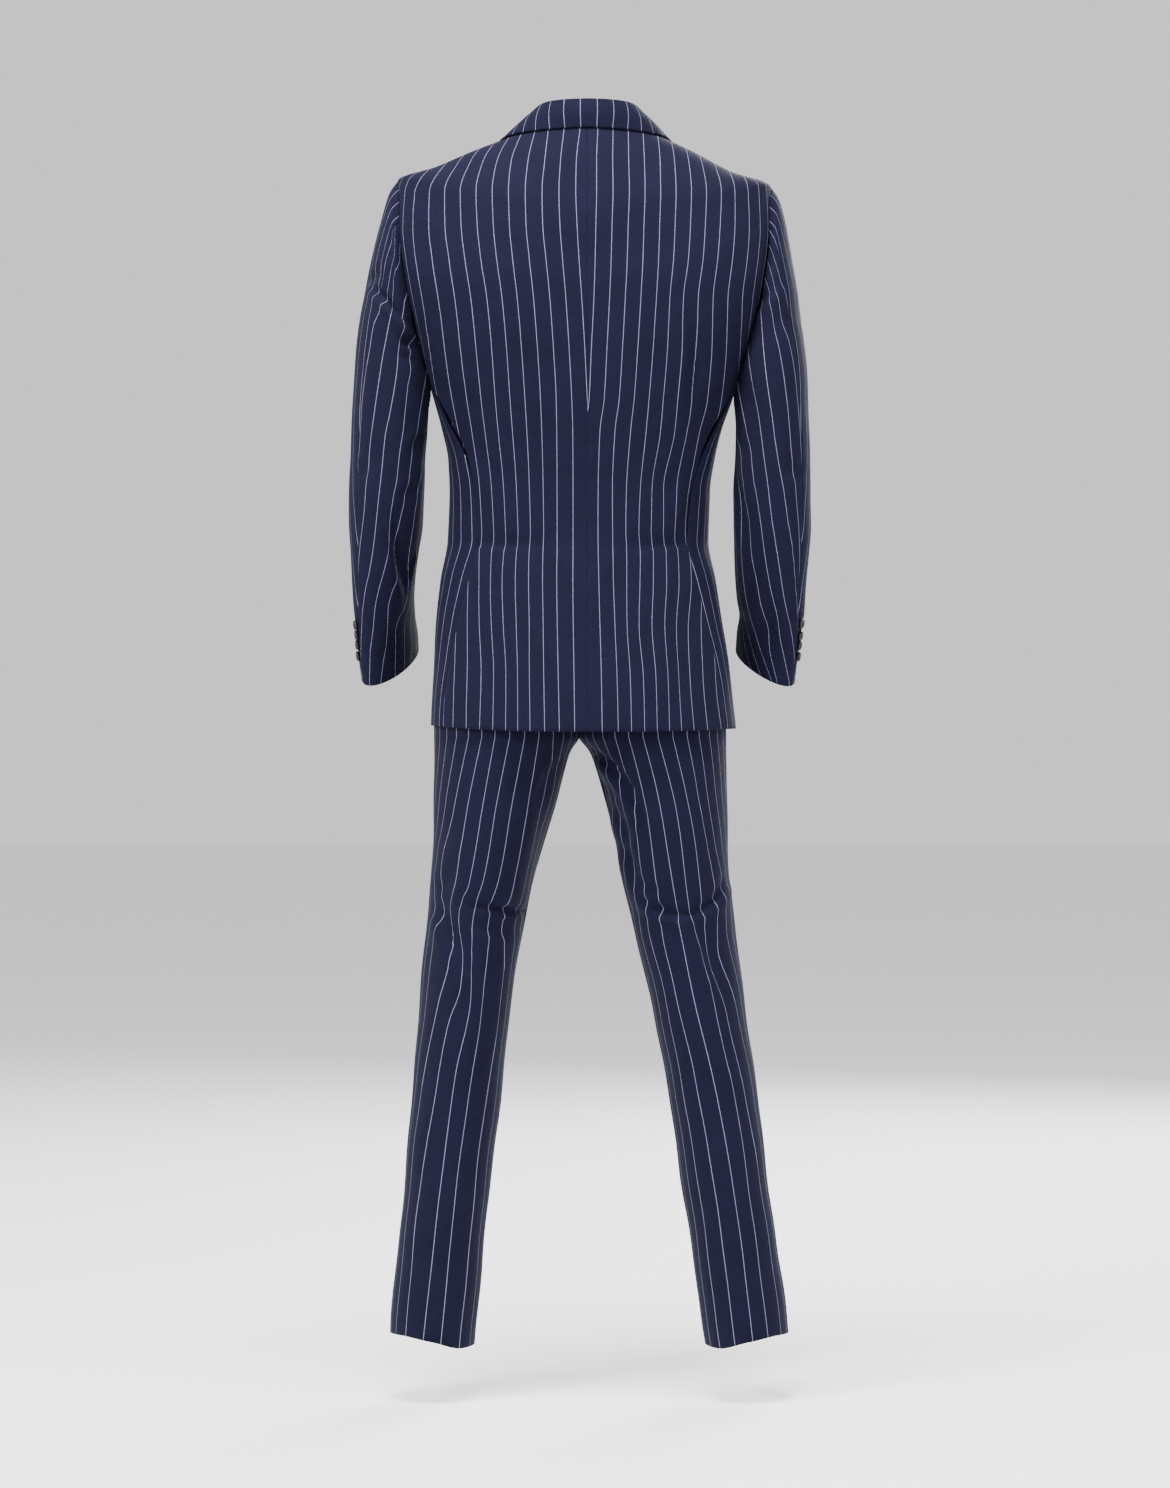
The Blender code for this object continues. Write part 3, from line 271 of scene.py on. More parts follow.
def folded(points, normals, free=1.0):
    """Points pushed along their normals by the large folds, as far as they are free."""
    push = np.zeros(points.shape[:-1])
    for face, x0, z0, x1, z1, width, depth in zip(*LARGE_FOLDS.values()):
        start, run = np.array([x0, z0]), np.array([x1 - x0, z1 - z0])
        flat = points[..., [0, 2]] - start
        along = np.clip((flat @ run) / (run @ run), 0.0, 1.0)
        away = np.linalg.norm(flat - along[..., None] * run, axis=-1)
        fade = np.sin(np.pi * np.clip(along, FOLD_END, 1 - FOLD_END))
        fade = fade * (points[..., 1] * face > FOLD_SIDE)
        push += depth * fade * np.exp(-(away / width) ** 2)
    return points + normals * (push * free)[..., None]


BESIDE_ARM, FOLDS_FROM = (55.0, 72.0), 0.360


def off_arm(azimuth, level):
    """0 beside the armhole, where folds would part its seam, and 1 away from it."""
    beside = smooth_step(90.0 - np.abs(np.abs(azimuth) - 90.0), *BESIDE_ARM)
    return 1 - beside * (1 - smooth_step(level, UNDERARM_LEVEL, FOLDS_FROM))


# creases fade at their ends and towards the side of the body, and have a lip along one side
CREASE_END, CREASE_POWER, CREASE_SIDE, LIP_OUT, LIP_SHARE = 0.04, 0.7, 0.02, 1.7, 0.45


def creased(points, normals, table):
    """Points pushed by the small folds: each follows a bent line through three places."""
    push = np.zeros(points.shape[:-1])
    flat = points[..., [0, 2]]
    step = np.linspace(0, 1, 17)
    for face, x0, z0, x1, z1, x2, z2, width, depth in zip(*table.values()):
        bend = (np.outer((1 - step) ** 2, (x0, z0)) + np.outer(2 * step * (1 - step), (x1, z1))
                + np.outer(step**2, (x2, z2)))
        near = flat[..., None, :] - bend
        square = np.sum(near * near, axis=-1)
        best = np.argmin(square, axis=-1)
        away = np.sqrt(np.take_along_axis(square, best[..., None], axis=-1)[..., 0])
        along = step[best]
        way = bend[np.minimum(best + 1, len(step) - 1)] - bend[np.maximum(best - 1, 0)]
        aside = flat - bend[best]
        turned = np.sign(way[..., 0] * aside[..., 1] - way[..., 1] * aside[..., 0])
        fade = np.sin(np.pi * np.clip(along, CREASE_END, 1 - CREASE_END)) ** CREASE_POWER
        fade = fade * smooth_step(points[..., 1] * face, 0.0, CREASE_SIDE)
        lip = np.exp(-((away * turned - LIP_OUT * width) / width) ** 2)
        push += depth * fade * (np.exp(-(away / width) ** 2) - LIP_SHARE * lip)
    return points + normals * push[..., None]


def eased(points, normals, amount):
    """Slight unevenness of hanging cloth, in long soft waves."""
    x, y, z = np.moveaxis(points, -1, 0)
    # wave numbers in radians a metre
    wave = (np.sin(31 * x + 11 * z + 1.3) * np.sin(19 * z - 9 * y)
            + 0.6 * np.sin(47 * x - 23 * z + 7 * y) + 0.5 * np.sin(61 * z + 29 * x + 2.1))
    return points + normals * (amount * wave)[..., None]


def arcs(points, axis):
    """Distance run along a grid of points."""
    step = np.linalg.norm(np.diff(points, axis=axis), axis=-1)
    pad = np.zeros_like(np.take(step, [0], axis=axis))
    return np.concatenate((pad, np.cumsum(step, axis=axis)), axis=axis)


def cloth_at(points, across):
    """Cloth coordinates of a panel from its distances across, with its length run along it."""
    return np.stack((across, arcs(points, 0)), axis=-1)


def laid(points, start=0.0, column=0, way=1):
    """Cloth coordinates of a plain panel: start is how far one column lies from a stripe."""
    arc = arcs(points, 1)
    return cloth_at(points, (arc - arc[:, column, None]) * way + start)


SEAM_SINK, SEAM_REACH = 0.0007, 0.0016


def seamed(points, normals, both=True):
    """Points with the first edge, or both, sunk where a seam is pressed open."""
    arc = arcs(points, 1)
    push = np.exp(-(arc / SEAM_REACH) ** 2)
    if both:
        push = push + np.exp(-((arc[:, -1:] - arc) / SEAM_REACH) ** 2)
    return points - normals * (SEAM_SINK * push)[..., None]


def calc(tree, operation, *values):
    """Result of a math node."""
    return add_node(tree, "ShaderNodeMath", dict(enumerate(values)),
                    operation=operation).outputs[0]


def mix(tree, factor, first, second):
    """Colour between two colours, which are values or sockets."""
    return add_node(tree, "ShaderNodeMix", {"Factor": factor, 6: first, 7: second},
                    data_type="RGBA").outputs[2]


def noise(tree, vector, scale, detail):
    """Flat noise over cloth coordinates, scale in spots a metre."""
    return add_node(tree, "ShaderNodeTexNoise",
                    {"Vector": vector, "Scale": scale, "Detail": detail},
                    noise_dimensions="2D").outputs["Fac"]


# half widths of the stripe's solid core and of the whole stripe, and how far its yarns stray, in
# metres, and the stripe's strength
STRIPE_CORE, STRIPE_EDGE, STRAY = 0.00015, 0.00055, 0.0005
CHALK = 0.74


def worsted(name, ground, light, stripe):
    """Worsted wool with a pinstripe: a matt twill of fine yarns, faintly mottled, with a chalky
    line of paler yarns every 19.5 mm. UV map "cloth" is in metres, across and along."""
    made = bpy.data.materials.new(name)
    made.use_nodes = True
    tree = made.node_tree
    shader = tree.nodes["Principled BSDF"]
    cloth = add_node(tree, "ShaderNodeUVMap", uv_map="cloth").outputs["UV"]
    stray = noise(tree, cloth, 260.0, 2.0)
    place = add_node(tree, "ShaderNodeSeparateXYZ", {"Vector": cloth}).outputs["X"]
    place = calc(tree, "ADD", place, calc(tree, "MULTIPLY", stray, STRAY))
    turns = calc(tree, "MULTIPLY", place, 1 / STRIPE_PITCH)
    line = add_node(tree, "ShaderNodeMapRange",
                    {"Value": calc(tree, "PINGPONG", turns, 0.5),
                     "From Min": STRIPE_CORE / STRIPE_PITCH,
                     "From Max": STRIPE_EDGE / STRIPE_PITCH, "To Min": 1.0, "To Max": 0.0},
                    interpolation_type="SMOOTHSTEP").outputs[0]
    # yarns drawn at 1.1 mm, twice their real size, so that they show
    stretched = add_node(tree, "ShaderNodeMapping", {"Vector": cloth, "Scale": (900, 130, 1)})
    yarn = noise(tree, stretched.outputs[0], 1.0, 3.0)
    twill = add_node(tree, "ShaderNodeTexWave",
                     {"Vector": cloth, "Scale": 560.0, "Distortion": 0.6},
                     wave_type="BANDS", bands_direction="DIAGONAL").outputs["Fac"]
    # flecks of yarn, in patches of about 45 mm
    fleck = calc(tree, "MULTIPLY_ADD", yarn, noise(tree, cloth, 22.0, 3.0), 0.22)
    tone = calc(tree, "MULTIPLY_ADD", twill, 0.16, fleck)
    wool = mix(tree, tone, linear(ground), linear(light))
    colour = mix(tree, calc(tree, "MULTIPLY", line, CHALK), wool, linear(stripe))
    tree.links.new(colour, shader.inputs["Base Color"])
    bump = add_node(tree, "ShaderNodeBump", {"Height": calc(tree, "ADD", yarn, twill),
                                             "Strength": 0.25, "Distance": 0.0004})
    tree.links.new(bump.outputs["Normal"], shader.inputs["Normal"])
    shader.inputs["Roughness"].default_value = 0.82
    shader.inputs["Specular IOR Level"].default_value = 0.06
    shader.inputs["Sheen Weight"].default_value = 0.02
    shader.inputs["Sheen Roughness"].default_value = 0.55
    shader.inputs["Sheen Tint"].default_value = linear("#B9BEDC")
    return made


WOOL = worsted("pinstripe_worsted", "#060511", "#100F25", "#74768F")


def cloth_piece(node, points, facing, cloth, wall):
    """Thin shell of cloth under a grid of outer points, which stands for a node."""
    name = node + "_cloth"
    rows, cols = points.shape[:2]
    bm = bmesh.new()
    bmesh.ops.create_grid(bm, x_segments=cols - 1, y_segments=rows - 1, size=0.5)
    mesh = bpy.data.meshes.new(name)
    bm.to_mesh(mesh)
    bm.free()
    at = np.empty(len(mesh.vertices) * 3, dtype=np.float32)
    mesh.vertices.foreach_get("co", at)
    at = at.reshape(-1, 3)
    row = np.rint((0.5 - at[:, 1]) * (rows - 1)).astype(int)
    col = np.rint((at[:, 0] + 0.5) * (cols - 1)).astype(int)
    spot = row * cols + col
    mesh.vertices.foreach_set("co", points.reshape(-1, 3)[spot].astype(np.float32).ravel())
    corner = np.empty(len(mesh.loops), dtype=np.int32)
    mesh.loops.foreach_get("vertex_index", corner)
    layer = mesh.uv_layers.new(name="cloth")
    layer.data.foreach_set("uv", cloth.reshape(-1, 2)[spot][corner].astype(np.float32).ravel())
    mesh.update()
    ways = np.empty(len(mesh.vertices) * 3, dtype=np.float32)
    mesh.vertices.foreach_get("normal", ways)
    if np.sum(ways.reshape(-1, 3) * facing.reshape(-1, 3)[spot]) < 0:
        mesh.flip_normals()
    mesh.shade_smooth()
    mesh.materials.append(WOOL)
    piece = bpy.data.objects.new(name, mesh)
    bpy.context.scene.collection.objects.link(piece)
    shell = piece.modifiers.new("wall", "SOLIDIFY")
    shell.thickness = wall
    shell.offset = -1.0
    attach(piece, "root")
    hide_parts(node)


# rows of the body: shoulder seam, armhole, then down to the hem
ARM_TURNS = np.linspace(0.0, SIDE_TURN, 43)
SHOULDER_LEVELS = np.linspace(NECK_LEVEL, TIP_LEVEL, 24)[:-1]
ARM_LEVELS = armhole(ARM_TURNS)[1]
BODY_LEVELS = np.concatenate((SHOULDER_LEVELS, ARM_LEVELS,
                              np.linspace(ARM_LEVELS[-1], HEM_LEVEL, 108)[1:]))
SIDE_ROW = len(SHOULDER_LEVELS) + len(ARM_LEVELS) - 1
# the side seam leaves the armhole at its end and reaches its own line at a lower level
SEAM_START, SEAM_SETTLED = 0.327, 0.40


def body_edge(face):
    """Azimuths of a panel's outer edge: shoulder seam, armhole, then side seam."""
    upper = np.concatenate((0 * SHOULDER_LEVELS + 90.0, armhole(ARM_TURNS * face)[0]))
    below = BODY_LEVELS[SIDE_ROW + 1:]
    end = "back" if face > 0 else "front"
    settle = 1 - smooth_step(below, BODY_LEVELS[SIDE_ROW], SEAM_SETTLED)
    return np.concatenate((upper, read(SIDE_SEAMS, end, below)
                           + (upper[-1] - read(SIDE_SEAMS, end, SEAM_START)) * settle))


def across(start, end, share):
    """Grid of values between two columns."""
    return start[:, None] * (1 - share) + end[:, None] * share


# Where every second pinstripe of the back crosses each height: distances from the centre seam
# in units of 0.303 mm, on the left half and the right half
STRIPE_UNIT = 0.000303
BACK_STRIPES = {
    1: columns("""
    z s0* s2* s4* s6* s8* s10*
      -735 -9 113 230 328 433 540
    -668.3 -8 118 233 326 428 535
    -607.7 -6 122 234 338 435 530
    -553.2 -5 124 237 344 437 526
    -514.4 -5 123 236 338 438 524
    -492.6 -5 123 230 331 427 522
    -444.1 -5 123 233 337 435 545
    -373.8 -4 124 243 358 465 578
      -335  2 126 251 370 485 605
    -274.4 12 137 264 383 508 637
    -213.8 24 151 281 402 531 665
    -165.3 35 167 300 427 555 690
    -122.9 43 180 313 442 572 703
     -80.5 48 183 317 447 574 699
     -44.1 46 173 308 423 528 640
      -4.7 32 160 270 365 455 565"""),
    -1: columns("""
    z s0* s2* s4* s6* s8* s10*
      -735  -5 123 228 328 428 540
    -668.3  -7 118 222 321 413 515
    -607.7 -10 110 206 310 406 508
    -553.2 -13 104 211 318 418 505
    -514.4 -16 102 213 318 413 500
    -492.6 -16 101 206 305 398 482
    -444.1 -14 100 212 305 410 500
    -373.8 -10 110 235 350 447 560
      -335   7 127 247 361 480 594
    -274.4  16 140 262 376 498 618
    -213.8  26 151 275 382 502 622
    -165.3  31 159 284 403 520 640
    -122.9  34 163 289 412 531 650
     -80.5  37 168 293 417 538 649
     -44.1  37 166 292 409 518 625
      -4.7  42 165 285 390 485 580""")}


def numbered(place, arc, marks):
    """Stripe number over a grid, from where its rows cross the marked stripes; beyond the
    outermost marks the stripes keep their pitch along the cloth."""
    share = (place[..., None] - marks[..., :-1]) / np.diff(marks, axis=-1)
    number = np.sum(np.clip(share, 0, 1), axis=-1)
    for end, way in ((0, -1.0), (-1, 1.0)):
        gap = (place - marks[..., end]) * way
        for i in range(len(place)):
            order = np.argsort(gap[i])
            start = np.interp(0.0, gap[i][order], arc[i][order])
            missed = np.clip(gap[i].min(), 0, None)
            beyond = (np.abs(arc[i] - start) + missed) / STRIPE_PITCH * way
            number[i] += np.where(gap[i] > 0, beyond, 0.0)
    return number


# share of the half width that faces the camera
SEEN = 0.80


def turned_away(number, points, arc):
    """Stripe numbers that keep their pitch along the cloth where it turns out of sight."""
    x = points[..., 0]
    middle, half = (x.max(1) + x.min(1)) / 2, (x.max(1) - x.min(1)) / 2
    facing = np.abs(x - middle[:, None]) < SEEN * half[:, None]
    number = number.copy()
    for i, row in enumerate(facing):
        first, last = np.flatnonzero(row)[[0, -1]]
        way = np.sign(number[i, last] - number[i, first])
        number[i, :first] = number[i, first] - way * (arc[i, first] - arc[i, :first]) / STRIPE_PITCH
        number[i, last:] = number[i, last] + way * (arc[i, last:] - arc[i, last]) / STRIPE_PITCH
    return number


def back_stripes(points, side):
    """Cloth coordinates of a back half, whose stripes follow the table."""
    table = BACK_STRIPES[side]
    level = points[..., 2]
    even = [read(table, f"s{n}", level, "z") * STRIPE_UNIT for n in range(0, 12, 2)]
    between = [(a + b) / 2 for a, b in zip(even, even[1:])]
    marks = np.stack([m for pair in zip(even, between) for m in pair] + even[-1:], axis=-1)
    number = numbered(np.abs(points[..., 0]), arcs(points, 1), marks)
    return cloth_at(points, number * STRIPE_PITCH)


def lines_at(text, down):
    """Places across of lines, at the depths asked for. A line is a row of points across,down."""
    marks = []
    for line in text.split("/"):
        points = np.array([point.split(",") for point in line.split()], dtype=float)
        line = {"across": points[:, 0], "down": points[:, 1]}
        marks.append(read(line, "across", down, "down"))
    return np.stack(marks, axis=-1)


# small creases: face, start, bend and end, width, and depth (a ridge where it is positive)
BACK_CREASES = columns("""
    face* x0 z0 x1 z1 x2 z2 width depth
    1 -122 -236 -136 -290 -124 -344   7   -6
    1  -60 -513 -105 -507 -147 -504 4.5 -2.6
    1  152 -509  110 -507   55 -512 4.5 -2.2
    1 -122 -425 -134 -470 -116 -503   9 -2.6
    1  172 -370  152 -425  148 -490  11 -2.4
    1 -165 -370 -142 -420 -132 -480  11 -2.4
    1   20 -160   28 -250   16 -340  30 -2.2
    1  120 -600  128 -660  118 -730  16   -2
    1 -110 -590 -122 -660 -116 -730  16   -2""")
for side, word in SIDES:
    edge = body_edge(1)
    azimuth = across(np.zeros_like(edge), edge, shares(46)) * side
    level = BODY_LEVELS[:, None]
    form, facing = on_torso(azimuth, level)
    shaped = folded(form, facing, off_arm(azimuth, level))
    shaped = seamed(eased(creased(shaped, facing, BACK_CREASES), facing, 0.0005), facing)
    cloth_piece(f"jacket_back_{word}", shaped, facing, back_stripes(form, side), JACKET_WALL)

# Side bodies of the jacket: a narrow panel from under the arm to the hem, which turns the body
# from back to front. Its stripes are counted from the middle of the panel.
SIDE_SETTLED, SIDE_SINK_END = 0.44, 0.50
for side, word in SIDES:
    turn = SIDE_TURN + 2 * (180.0 - SIDE_TURN) * shares(26)
    top_azimuth, top_level = armhole(turn)
    levels = BODY_LEVELS[SIDE_ROW:]
    back, front = body_edge(1)[SIDE_ROW:], body_edge(-1)[SIDE_ROW:]
    even = across(back, front, shares(26))
    settle = smooth_step(levels, levels[0], SIDE_SETTLED)[:, None]
    azimuth = (top_azimuth * (1 - settle) + even * settle) * side
    sink = 1 - np.clip((levels - levels[0]) / (SIDE_SINK_END - levels[0]), 0, 1)[:, None]
    level = levels[:, None] + (top_level - levels[0]) * sink
    form, facing = on_torso(azimuth, level)
    shaped = folded(form, facing, off_arm(azimuth, level))
    shaped = seamed(eased(shaped, facing, 0.0005), facing)
    cloth_piece(f"jacket_side_{word}", shaped, facing,
                laid(form, start=0.006, column=form.shape[1] // 2), JACKET_WALL)

# Foreparts of the jacket: canvassed, cut away in a curve below the lower button, with the left
# lapped over the right.
FRONT_LAP = 0.018
LAP_FADE, LAP_LEVELS = (0.004, 0.045), (0.33, 0.39)
LIE = 0.0008
FRONT_EDGE = columns("""
    level x
      0   74
     50 65.5
    200 36.5
    380    2
    405  -10
    430  -18
    500  -18
    550  -11
    600    4
    650   27
    685   50
    712   80
    737  125""")
for side, word in SIDES:
    edge = body_edge(-1)
    front = azimuth_at(read(FRONT_EDGE, "x", BODY_LEVELS), BODY_LEVELS)
    azimuth = across(edge, front, shares(46)) * side
    level = BODY_LEVELS[:, None]
    form, facing = on_torso(azimuth, level)
    near = 1 - smooth_step(np.abs(form[..., 0]), *(FRONT_LAP + fade for fade in LAP_FADE))
    under = near * smooth_step(level, *LAP_LEVELS) * (JACKET_WALL + 2 * LIE if side < 0 else 0.0)
    cloth = laid(form, start=0.010, column=-1, way=-1)
    form = form - facing * under[..., None]
    shaped = folded(form, facing, off_arm(azimuth, level))
    shaped = seamed(eased(shaped, facing, 0.0004), facing, both=False)
    cloth_piece(f"jacket_front_{word}", shaped, facing, cloth, JACKET_WALL)

# Lapels: the facing turned back from the top button, notched where it meets the collar.
LAPEL_WALL = 0.0016
# the notch: where it lies across the lapel, its width in the same shares, its depth in metres
GORGE_SHARE, NOTCH_WIDTH, NOTCH_DROP = 0.45, 0.3, 0.012
LAPEL = columns("""
    run* inner_x inner_level outer_x outer_level
       0   64  56 136  96
    0.12   59  82 134 112
     0.3   49 135 113 162
    0.55   33 218  76 240
     0.8 16.5 304  39 316
       1    4 370  10 376""")
for side, word in SIDES:
    run, share = np.linspace(0, 1, 90), shares(20)
    inner_x, inner_level, outer_x, outer_level = (
        read(LAPEL, key, run, "run")[:, None]
        for key in ("inner_x", "inner_level", "outer_x", "outer_level"))
    x = inner_x + (outer_x - inner_x) * share
    level = inner_level + (outer_level - inner_level) * share
    notch = np.exp(-((share - GORGE_SHARE) / NOTCH_WIDTH) ** 2) * smooth_step(share, 0, 0.05)
    level = level + NOTCH_DROP * notch * (1 - smooth_step(run, 0, 0.25))[:, None]
    form, facing = on_torso(azimuth_at(x, level) * side, level, LIE + LAPEL_WALL)
    cloth_piece(f"jacket_lapel_{word}", folded(form, facing), facing,
                laid(form, start=0.0125, column=-1, way=-1), LAPEL_WALL)

# Collar: the fall turns over the fold line and lies on the back neck and the shoulders. The
# stand inside carries it up from the neck seam.
COLLAR = columns("""
    run* fold_azimuth* fold_reach fold_z edge_azimuth* edge_level
       0   0    67  35     0    5
     0.3  42    69  34    38  7.2
    0.52  75  68.5  28    68 11.5
    0.66  97    71  16    88   17
     0.8 117    81  -2   103   26
     0.9 132  97.5 -24   112   37
       1 145 118.5 -56 119.5   48""")
COLLAR_WALL, COLLAR_CROWN, GORGE_BEND = 0.0016, 0.0034, 0.0120
COLLAR_LEAN, COLLAR_STRIPE, COLLAR_LIES_FROM = 0.045, -0.0085, 0.86
# the cloth turned in over the fold: how far inwards and up
COLLAR_TURNED = (0.0026, 0.0006), (0.0009, 0.0011)
STAND_WALL, STAND_END = 0.0014, 92.0
STAND_INSIDE, STAND_BELOW, STAND_FOOT, STAND_BOW = 0.0046, 0.0020, 0.0006, 0.001
runs, fall = np.linspace(-1, 1, 181), np.linspace(0, 1, 22)
way, run = np.where(runs < 0, -1.0, 1.0), np.abs(runs)
around = {key: read(COLLAR, key, run, "run") for key in COLLAR if key != "run"}
angle = np.radians(around["fold_azimuth"])
fold = np.stack((np.sin(angle) * around["fold_reach"] * way,
                 np.cos(angle) * around["fold_reach"], around["fold_z"]), axis=-1)
rim_azimuth = around["edge_azimuth"] * way
rim = on_torso(rim_azimuth, around["edge_level"], LIE + COLLAR_WALL)[0]
outward = unit(fold * np.array([1.0, 1.0, 0.0]) + np.array([0, 0, COLLAR_LEAN]))
share = fall[:, None, None]
free = fold + (rim - fold) * share + outward * COLLAR_CROWN * np.sin(np.pi * share)
rim_x, fold_x = np.abs(rim[:, 0]), np.abs(fold[:, 0]) - 0.001
x = fold_x + (rim_x - fold_x) * fall[:, None]
fold_level = around["edge_level"][-1] + 0.002
level = fold_level + (around["edge_level"] - fold_level) * fall[:, None]
level = level + GORGE_BEND * np.sin(np.pi * fall)[:, None] ** 2
azimuth = azimuth_at(np.minimum(x, 0.14), level) * way
lying = on_torso(azimuth, level, 1.6 * LIE + COLLAR_WALL)[0]
settle = smooth_step(run, COLLAR_LIES_FROM, 1.0)[None, :, None]
form = free * (1 - settle) + lying * settle
turned = [form[:1] - outward * inwards + np.array([0, 0, up]) for inwards, up in COLLAR_TURNED]
form = np.concatenate((*turned, form))
facing = unit(np.cross(np.gradient(form, axis=1), np.gradient(form, axis=0)))
facing = facing * np.sign(np.sum(facing * outward, axis=-1, keepdims=True))
edge_arc = arcs(form[-1:], 1)[0]
middle = np.interp(0.0, form[-1, :, 0], edge_arc)
across_rim = np.broadcast_to(edge_arc - middle + COLLAR_STRIPE, form.shape[:2])
cloth_piece("jacket_collar", form, facing, cloth_at(form, across_rim), COLLAR_WALL)

azimuth = np.linspace(-STAND_END, STAND_END, 81)
foot = torso(azimuth, NECK_LEVEL) + np.array([0, 0, SEAM])
angle = np.radians(azimuth)
reach = read(COLLAR, "fold_reach", np.abs(azimuth), "fold_azimuth") - STAND_INSIDE
height = read(COLLAR, "fold_z", np.abs(azimuth), "fold_azimuth") - STAND_BELOW
level_way = np.stack((np.sin(angle), np.cos(angle), 0 * angle), axis=-1)
top = level_way * reach[:, None] + np.stack((0 * angle, 0 * angle, height), axis=-1)
foot = foot - level_way * STAND_FOOT
share = np.linspace(0, 1, 9)[:, None, None]
form = top + (foot - top) * share - level_way * STAND_BOW * np.sin(np.pi * share)
facing = np.broadcast_to(level_way, form.shape)
cloth_piece("jacket_collar_stand", form, facing, laid(form, start=0.004), STAND_WALL)

# Pockets: two flaps on the hips and a welt on the left breast.
FLAP_TOP, FLAP_HEIGHT, FLAP_FRONT, FLAP_BACK = 0.562, 0.054, 153.0, 113.5
WELT_START, WELT_END, WELT_TOP, WELT_HEIGHT, WELT_SLANT = 0.098, 0.186, 0.238, 0.022, 0.10
FLAP_WALL, WELT_WALL = 0.0014, 0.0012
for side, word in SIDES:
    azimuth = (FLAP_FRONT + (FLAP_BACK - FLAP_FRONT) * shares(36)) * side
    level = (FLAP_TOP + FLAP_HEIGHT * np.linspace(0, 1, 14))[:, None]
    form, facing = on_torso(azimuth, level, LIE + FLAP_WALL)
    cloth_piece(f"jacket_flap_{word}", folded(form, facing), facing, laid(form), FLAP_WALL)
x = WELT_START + (WELT_END - WELT_START) * shares(24)
level = WELT_TOP + WELT_HEIGHT * np.linspace(0, 1, 8)[:, None] - WELT_SLANT * (x - WELT_START)
form, facing = on_torso(azimuth_at(x, level), level, LIE + WELT_WALL)
cloth_piece("jacket_breast_welt", folded(form, facing), facing, laid(form), WELT_WALL)

# Sleeves: a top and an under sleeve each, joined at the elbow seam and at the inner seam in
# front, and set into the armhole. The buttons beside the elbow seam come at the end.
SLEEVE_WALL = 0.0016
SLEEVE_SEAM_FRONT, CAP_RINGS = -126.0, 5
SLEEVES = {
    "left": columns("""
    outer_x outer_z inner_x inner_z y depth twist* tilt* lean* seam*
    235.2    -58 197.5   -300   0 62  0    0    0 54
    244.5    -72   199   -303   0 69  0    0    0 53
    257.5   -118 198.5   -309   1 75  0    0    0 52
      270   -168   197   -317   2 78  0    0    0 51
    279.5   -222   196   -329   3 79  0    0    0 50
    285.8   -277   196   -346   4 78  0    0    0 47
    289.3   -328   197   -370   5 76  0    0    0 44
    292.2   -388   200   -402   6 72  0    0    0 42
    294.2   -440   201   -440   5 69  2    0    0 46
    294.2   -480   203   -480   1 66  6 0.05    0 52
    292.5   -515   209   -515  -5 62 11 0.12    0 58
    290.3   -550 213.5   -550 -12 60 16 0.22    0 64
    288.3   -580   215   -580 -20 58 21 0.33 0.02 68
    284.5   -606 214.5   -606 -29 56 25 0.42 0.04 69
    282.5   -630   212   -630 -37 55 28  0.5 0.05 70
    279.5 -652.5   211 -652.5 -43 54 30 0.55 0.06 70"""),
    "right": columns("""
    outer_x outer_z inner_x inner_z y depth twist* tilt* lean* seam*
      227    -66   188   -300   0 62  0    0    0 54
    235.5    -80 189.5   -303   0 69  0    0    0 53
      247   -124   189   -309   1 75  0    0    0 52
    255.8   -172 187.8   -317   2 78  0    0    0 51
    263.5   -224 186.2   -329   3 79  0    0    0 50
    269.3   -278 184.8   -346   4 78  0    0    0 47
    272.2   -328 183.2   -370   5 76  0    0    0 44
    274.5   -388 182.2   -402   6 73  0    0    0 42
    275.7   -440 180.5   -440   5 70  2    0    0 46
    275.9   -480 180.3   -480   1 67  6 0.05 0.01 52
    273.7   -515 181.5   -515  -5 64 11 0.11 0.03 58
    270.5   -550 183.2   -550 -12 61 16 0.19 0.06 64
      268   -580 185.5   -580 -20 59 21 0.27  0.1 68
      263   -606   189   -606 -29 57 25 0.34 0.14 69
      260   -630 186.5   -630 -37 56 28  0.4 0.17 70
      257 -654.5 185.5 -654.5 -43 54 30 0.45  0.2 70""")}


def sleeve_face(side, word, part, station, share):
    """Outer points of a sleeve panel. station runs down the rings of the sleeve's table, and
    share from the panel's first seam to its second."""
    table = SLEEVES[word]
    rings = dict(table, ring=np.arange(len(table["y"]), dtype=float))
    at = {key: read(rings, key, station, "ring")[:, None] for key in table}
    first, last = ((SLEEVE_SEAM_FRONT, at["seam"]) if part == "top"
                   else (at["seam"], SLEEVE_SEAM_FRONT + 360))
    turn = np.radians(first + (last - first) * share)
    half = (at["outer_x"] - at["inner_x"]) / 2
    rise = (at["outer_z"] - at["inner_z"]) / 2
    twist = np.radians(at["twist"])
    short = np.sqrt(half**2 - (at["depth"] * np.sin(twist)) ** 2) / np.cos(twist)
    out = short * np.cos(turn) * np.cos(twist) + at["depth"] * np.sin(turn) * np.sin(twist)
    aft = at["depth"] * np.sin(turn) * np.cos(twist) - short * np.cos(turn) * np.sin(twist)
    x = (at["outer_x"] + at["inner_x"]) / 2 + out
    z = ((at["outer_z"] + at["inner_z"]) / 2 + out / half * rise
         - at["tilt"] * aft - at["lean"] * out)
    points = np.stack((x * side, at["y"] + aft, z), axis=-1)
    hole_azimuth, hole_level = armhole(np.degrees(turn[:1]))
    hole = on_torso(hole_azimuth * side, hole_level, 1.4 * SEAM)[0]
    fade = np.clip(1 - station / CAP_RINGS, 0, 1) ** 2
    return points + (hole - points[:1]) * fade[:, None, None]


